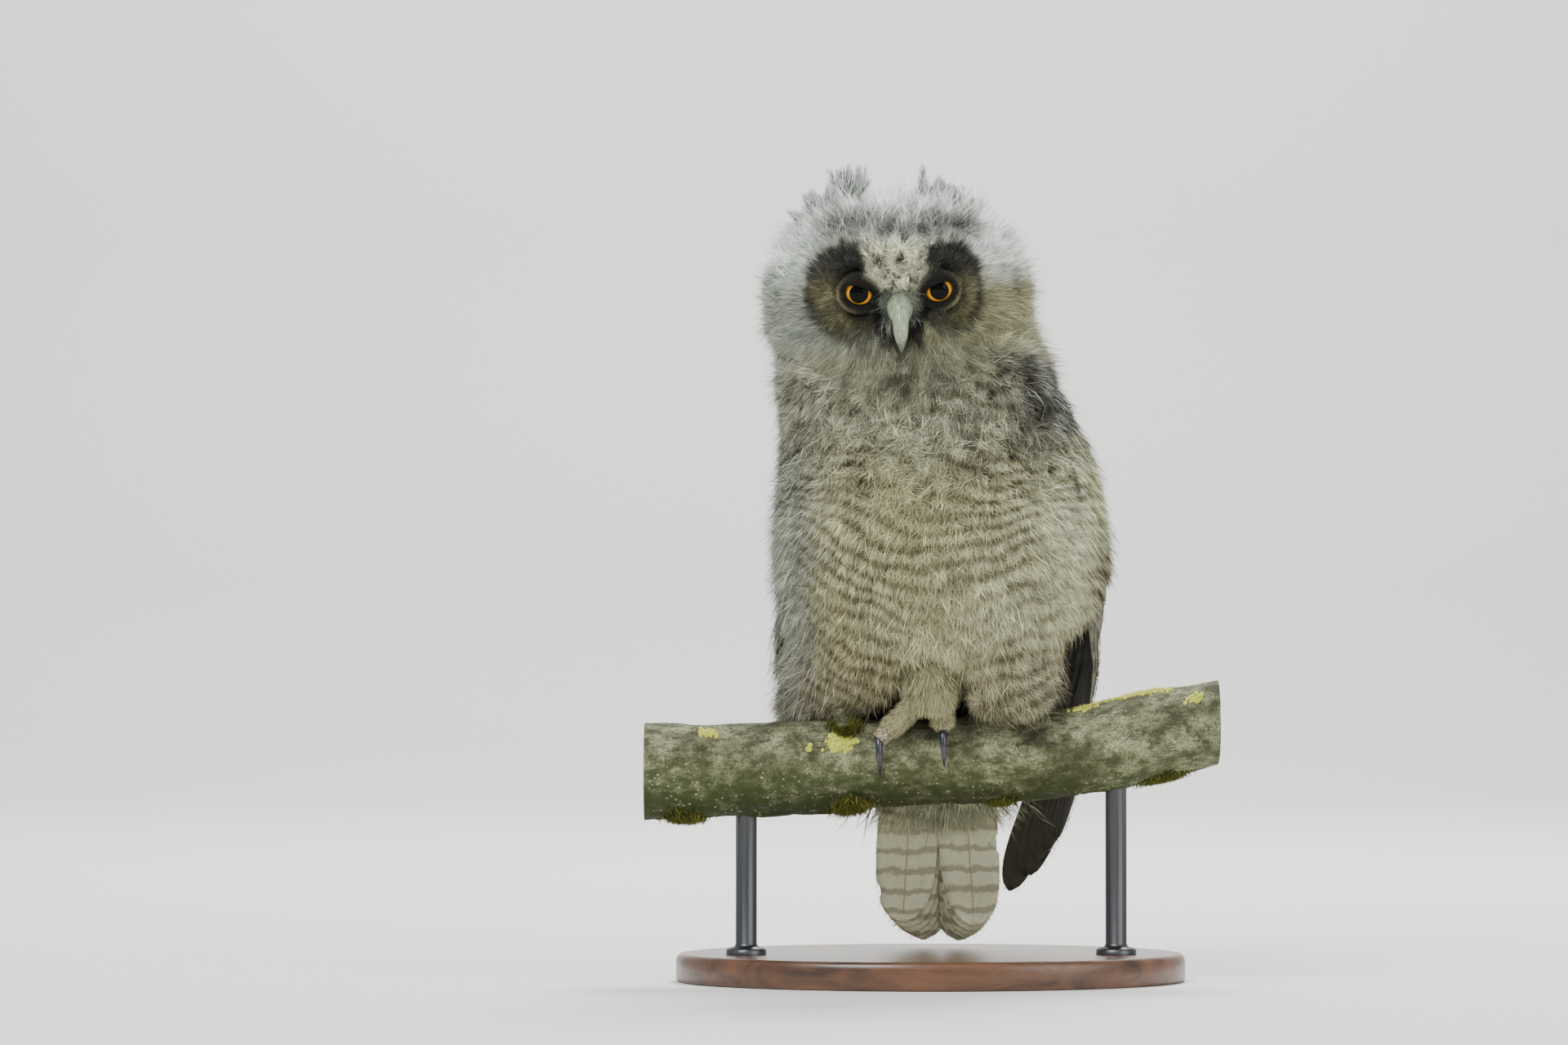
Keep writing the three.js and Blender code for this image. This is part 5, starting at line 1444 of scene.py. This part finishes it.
class Feathers:
    """Vanes and shafts gathered into one mesh, each carried by a function of its own."""

    def __init__(self, seed, finish):
        self.vanes, self.shafts, self.fringe, self.finish = [], [], [], finish
        self.random = np.random.default_rng(seed)

    def add(self, carry, half, colour, length, camber=0.9, splits=3, tip=0.75, inner=0.2):
        """carry(u, across, depth) gives points in millimetres; u runs from root to tip; inner darkens each
        vane's under face, as painted shade.
        """
        thick = VANE_THICK
        along, across = np.linspace(0, 1, VANE_ROWS), np.linspace(-1, 1, VANE_COLUMNS)
        u, v = np.meshgrid(along, across, indexing="ij")
        width = curve_through(VANE_WIDTHS, u[:, 0])[:, 0]
        edge = np.stack([width, width], 1)
        for _ in range(splits):
            where, side = self.random.uniform(0.35, 0.97), self.random.integers(2)
            wide = self.random.uniform(0.012, 0.03)
            edge[:, side] *= 1 - self.random.uniform(0.15, 0.4) * np.exp(-(((u[:, 0] - where) / wide) ** 2))
        reach = np.where(v < 0, edge[:, :1], edge[:, 1:]) * v * half
        wave = 0.25 * np.sin(u * 9 + self.random.uniform(0, 6)) * v**2
        top = carry(u, reach, thick / 2 * (1 - 0.6 * u) - camber * v**2 + wave)
        under = carry(u, reach, -thick / 2 * (1 - 0.6 * u) - camber * v**2 + wave)
        lot = self.random.random()
        marks = np.stack([u * length / 1000, reach / 1000, np.full(u.shape, lot)], -1)
        shade = np.array(colour) * self.random.uniform(0.88, 1.1)
        dusk = (1 + (tip - 1) * smooth(0.8, 1.0, u))[..., None] * np.ones(3)
        # Painted shade: the under face of every vane takes its colour times inner.
        self.vanes.append((top, under, marks, shade * dusk, inner))
        turn = full_turn(SHAFT_AROUND)
        along = np.linspace(0.02, 0.96, SHAFT_ROWS)[:, None]
        girth = 0.62 * (1 - 0.8 * along)
        rise = thick / 2 + girth * 0.9 * np.sin(turn)
        self.shafts.append(carry(along + 0 * turn, girth * np.cos(turn), rise))
        # Free barbs along both edges.
        pick_u = self.random.uniform(0.2, 1.0, FREE_BARBS)
        pick_side = self.random.choice([-1, 1], FREE_BARBS)
        at = curve_through(VANE_WIDTHS, pick_u)[:, 0] * half * 0.96 * pick_side
        root = carry(pick_u, at, 0 * at)
        tip = carry(np.minimum(pick_u + 0.02, 1.04), at + pick_side * 1.2, 0 * at)
        shade = np.tile(shade, (FREE_BARBS, 1)) * self.random.uniform(0.7, 1.15, (FREE_BARBS, 1))
        self.fringe.append((root, tip - root, shade))

    def build(self, name, slot, *nodes):
        points, faces, marks, tones, start = [], [], [], [], 0
        for top, under, values, shade, inner in self.vanes:
            rows, columns, _ = top.shape
            grid = sheet_faces(rows, columns)
            count = rows * columns
            numbers = np.arange(count).reshape(rows, columns)
            sides = [numbers[0], numbers[1:, -1], numbers[-1, -2::-1], numbers[-2:0:-1, 0]]
            loop = np.concatenate(sides)
            rim = np.stack([loop, np.roll(loop, -1), np.roll(loop, -1) + count, loop + count], 1)
            faces += [grid + start, grid[:, ::-1] + start + count, rim[:, ::-1] + start]
            points += [top.reshape(-1, 3), under.reshape(-1, 3)]
            marks += [values.reshape(-1, 3)] * 2
            # The under face is painted darker by inner, as painted shade.
            tones += [shade.reshape(-1, 3), shade.reshape(-1, 3) * inner]
            start += 2 * count
        made = piece(name, np.concatenate(points) / 1000, np.concatenate(faces), self.finish)
        mark(made, "vane", np.concatenate(marks))
        paint(made, np.concatenate(tones))
        check = bmesh.new()
        check.from_mesh(made.data)
        bmesh.ops.recalc_face_normals(check, faces=check.faces)
        check.to_mesh(made.data)
        check.free()
        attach(made, "root")
        if nodes:
            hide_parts(*nodes)
        starts = np.arange(len(self.shafts)) * SHAFT_ROWS * SHAFT_AROUND
        shaft_faces = [sheet_faces(SHAFT_ROWS, SHAFT_AROUND, wrap=True, start=start) for start in starts]
        shaft_points = np.concatenate([points.reshape(-1, 3) for points in self.shafts]) / 1000
        shafts = piece(f"{name}_shafts", shaft_points, np.concatenate(shaft_faces), shaft_finish.material)
        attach(shafts, "root")
        roots, ways, shade = (np.concatenate(part) for part in zip(*self.fringe))
        ways = unit(ways)
        sides = np.random.default_rng(5).normal(0, 1, ways.shape)
        tones = np.stack([shade * 0.5, shade * 0.7, shade * 0.9], 1)
        shape = (roots / 1000, ways, along_skin(sides, ways) * 0.25, 0.0026, 0.00022)
        edge = tufted(f"{name}_barbs", *shape, tones, down_finish.material)
        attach(edge, "root")


for side, seed in (("left", 11), ("right", 29)):
    wing = Feathers(seed, wing_vane)
    girths = [(row[0], (row[1] + row[3]) / 2) for row in WING_ROWS]
    for tier, count, root_front, root_back, tip_front, tip_back, half, stand, colour in WING_TIERS:
        for i in range(count):
            share = i / (count - 1)
            root_angle, root_height = np.array(root_front) + (np.array(root_back) - root_front) * share
            tip_angle, tip_height = np.array(tip_front) + (np.array(tip_back) - tip_front) * share
            tip_angle += wing.random.uniform(-2, 2)
            tip_height += wing.random.uniform(-3, 3) * (i > 0)
            tip_angle += WING_TURN[side] * (1 - smooth(40, 130, tip_height))
            girth = curve_through(girths, np.array([(root_height + tip_height) / 2]))[0, 0]
            run_angle = math.radians(tip_angle - root_angle) * girth
            run_height = tip_height - root_height
            length = math.hypot(run_angle, run_height)

            def carry(u, across, depth):
                centre = root_height + run_height * u
                here = curve_through(girths, centre)[..., 0]
                angle = np.radians(root_angle + (tip_angle - root_angle) * u)
                angle = angle - run_height * across / length / here
                height = centre + run_angle * across / length
                off = 1.6 + (stand + i * 0.62 - 1.6) * smooth(0, 0.35, u) - across / half * 0.5
                hidden = np.radians(WING_TUCKED[side])
                start = (130, 172) if side == "left" else (70, 100)
                tucked = (1 - smooth(hidden, hidden + 0.35, angle)) * smooth(*start, height)
                off = off - (6.5 if side == "left" else 9.0) * tucked
                return wing_point(side, angle, height, off + depth)

            # Painted shade: the left wing's primaries are darkened to stand for the shadow they lie in.
            inner = 0.72 if tier == "primary" and side == "left" else 1.0
            wing.add(carry, half, np.array(colour) * inner * DOWN["bar"] * (1.4, 1.58, 1.75), length)
    wing.build(f"wing_feathers_{side}", "feather", f"wing_{side}")

# Down still covers the young bird's shoulders and hides where the feathers root.
# Angles of the front and back edge, heights of the lower and upper edge.
SHOULDERS = {
    "left": [(82, 116, 172, 252), (112, 150, 196, 252)],
    "right": [(82, 128, 112, 252), (110, 152, 196, 252)],
}
for side, sign in (("left", 1), ("right", -1)):
    for n, (front_edge, back_edge, low, high) in enumerate(SHOULDERS[side]):
        random = np.random.default_rng(70 + n + 5 * sign)
        many = int((8000 if n else 13000 * (high - low) / 100) * QUICK)
        angle = np.radians(random.uniform(front_edge, back_edge, many))
        height = random.uniform(low, high, many)
        tucked = 1 - smooth(math.radians(82), math.radians(106 if side == "left" else 150), angle)
        lift = 3.4 - 9.5 * tucked * smooth(140, 175, height) - 6 * smooth(222, 252, height)
        roots = wing_point(side, angle, height, lift) / 1000
        around = wing_point(side, angle + 0.01, height, lift) - wing_point(side, angle - 0.01, height, lift)
        upward = wing_point(side, angle, height + 0.5, lift) - wing_point(side, angle, height - 0.5, lift)
        normals = unit(np.cross(around, upward) * sign)
        way = np.tile([0.0, 0.28, -1.0], (many, 1))
        patches = np.stack([(angle - 1.3) / 1.5, (height - 130) / 130], 1)
        name = f"shoulder_down_{side}_{n + 1}"
        lengths = np.full(many, 0.0112) * (1 - 0.3 * smooth(low + 18, low, height))
        shape = (lengths, np.full(many, 0.62), 0.00038)
        grow(name, roots, normals, patches, random, way, *shape, 0.0034, 0.4, 0.34, True)

# Tail. Twelve stiff feathers hang as a narrow fan below the branch, buff and grey with even dark
# bars and pale tips, the outer pairs nearest the viewer.
TAIL_X, TAIL_ROOT, TAIL_TIP, TAIL_PAIRS, TAIL_HALF = 5, 114, 15, 6, 13.2


def tail_point(across, height, depth):
    fall = np.maximum(TAIL_ROOT - height, 0) / (TAIL_ROOT - TAIL_TIP)
    y = 26 + 20 * fall**0.8
    away = depth - across**2 * 0.004
    turn = math.cos(BODY_TURN), math.sin(BODY_TURN)
    x = TAIL_X + across * turn[0] - away * turn[1] + (y - 26) * 0.05
    return np.stack([x, y + across * turn[1] + away * turn[0], height], -1)


tail = Feathers(41, tail_vane)
for side in (1, -1):
    for i in range(TAIL_PAIRS):
        share = (i + 0.5) / TAIL_PAIRS
        tip = TAIL_TIP + 8 * share**2 + (0 if side > 0 else 1.5 * share)
        layer = (i + (0.5 if side > 0 else 0)) * 1.4

        def carry(u, across, depth):
            height = TAIL_ROOT + 8 + (tip - TAIL_ROOT - 8) * u
            middle = side * (7 + share * (2 + 7.5 * u))
            return tail_point(middle + across, height, -depth - layer * (0.15 + 0.85 * smooth(0, 0.3, u)))

        # inner paints the under faces of the tail feathers darker, as painted shade.
        kind = {"camber": -0.6, "splits": 1, "tip": 1.15, "inner": 0.45}
        tail.add(carry, TAIL_HALF, DOWN["cream"] * 0.92, TAIL_ROOT + 8 - tip, **kind)
tail.build("tail_feathers", "feather", "tail")
random = np.random.default_rng(43)
many = int(9000 * QUICK)
across, height = random.normal(0, 12, many), random.uniform(74, 112, many)
roots = tail_point(across, height, -9.5 - 3 * smooth(66, 100, height)) / 1000
normals = np.tile([0.0, -1.0, -0.1], (many, 1))
patches = np.stack([across / 80 + 0.5, height / 130], 1)
way = np.stack([across * 0.02, 0 * across, -np.ones(many)], 1)
shape = (np.full(many, 0.016), np.full(many, 0.35), 0.00040)
kind = (0.004, 0.5, 0.25, True)
grow("undertail_down", roots, normals, patches, random, way, *shape, *kind, tint=DOWN["cream"] * 0.75)

# Ear tufts. Two untidy brushes of soft pale-tipped feathers on the corners of the crown, leaning
# outwards, grown from the skin among the fluff.
# Side, seed, inner and outer end of each brush across the crown, and the length there in
# millimetres.
TUFTS = {"left": (1, 5, (12, 30), (22, 12)), "right": (-1, 8, (18, 36), (26, 15))}
BRUSH_FEATHERS, BRUSH_STRANDS = 60, 380

for side, (sign, seed, across, reaches) in TUFTS.items():
    random = np.random.default_rng(seed)
    many = BRUSH_STRANDS
    roots, ways, lengths, shades = [], [], [], []
    for _ in range(BRUSH_FEATHERS):
        share = random.random()
        lean = sign * (share * 0.55 - 0.12 + random.normal(0, 0.24))
        reach = (reaches[0] + (reaches[1] - reaches[0]) * share) * random.uniform(0.4, 1.1) / 1000
        x = (across[0] + (across[1] - across[0]) * share) / 1000
        foot = np.array([sign * x, random.uniform(-0.006, 0.006), 0.0372 - 5.5 * x * x])
        head_way = np.array([math.sin(lean), random.uniform(-0.15, 0.25), math.cos(lean)])
        at = random.random(many)
        out = random.normal(0, 1, (many, 3))
        roots.append(foot + head_way * (at * reach * 0.80)[:, None] + out * 0.0010 * (1.2 - at)[:, None])
        ways.append(head_way * 1.1 + out * 0.55 * (1.15 - at)[:, None])
        lengths.append(reach * (0.34 - 0.14 * at) * random.uniform(0.7, 1.2, many))
        shades.append(np.clip(0.35 + 0.65 * at + random.normal(0, 0.22, many), 0, 1))
    roots, ways = from_head(np.concatenate(roots)), unit(np.concatenate(ways) @ HEAD_ROWS.T)
    lengths, shades = np.concatenate(lengths), np.concatenate(shades)
    base = mixed(DOWN["grey"] * 0.85, DOWN["white"] * 1.1, shades)
    base = base * random.uniform(0.8, 1.15, (len(roots), 1))
    tones = np.stack([base * 0.75, base, mixed(base, DOWN["white"] * 1.1, np.full(len(base), 0.6))], 1)
    sides = along_skin(random.normal(0, 1, ways.shape), ways)
    patches = np.full((len(roots), 2), 0.5) + random.uniform(-0.02, 0.02, (len(roots), 2))
    shape = (roots, ways, sides * 0.3, lengths, 0.00028)
    brush = tufted(f"ear_brush_{side}", *shape, tones, down_finish.material, patches, straight=True)
    soften(brush, np.tile([sign * 0.3, -0.6, 0.75], (len(roots), 1)), 0.6)
    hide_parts(f"ear_tuft_{side}")
    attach(brush, "root")
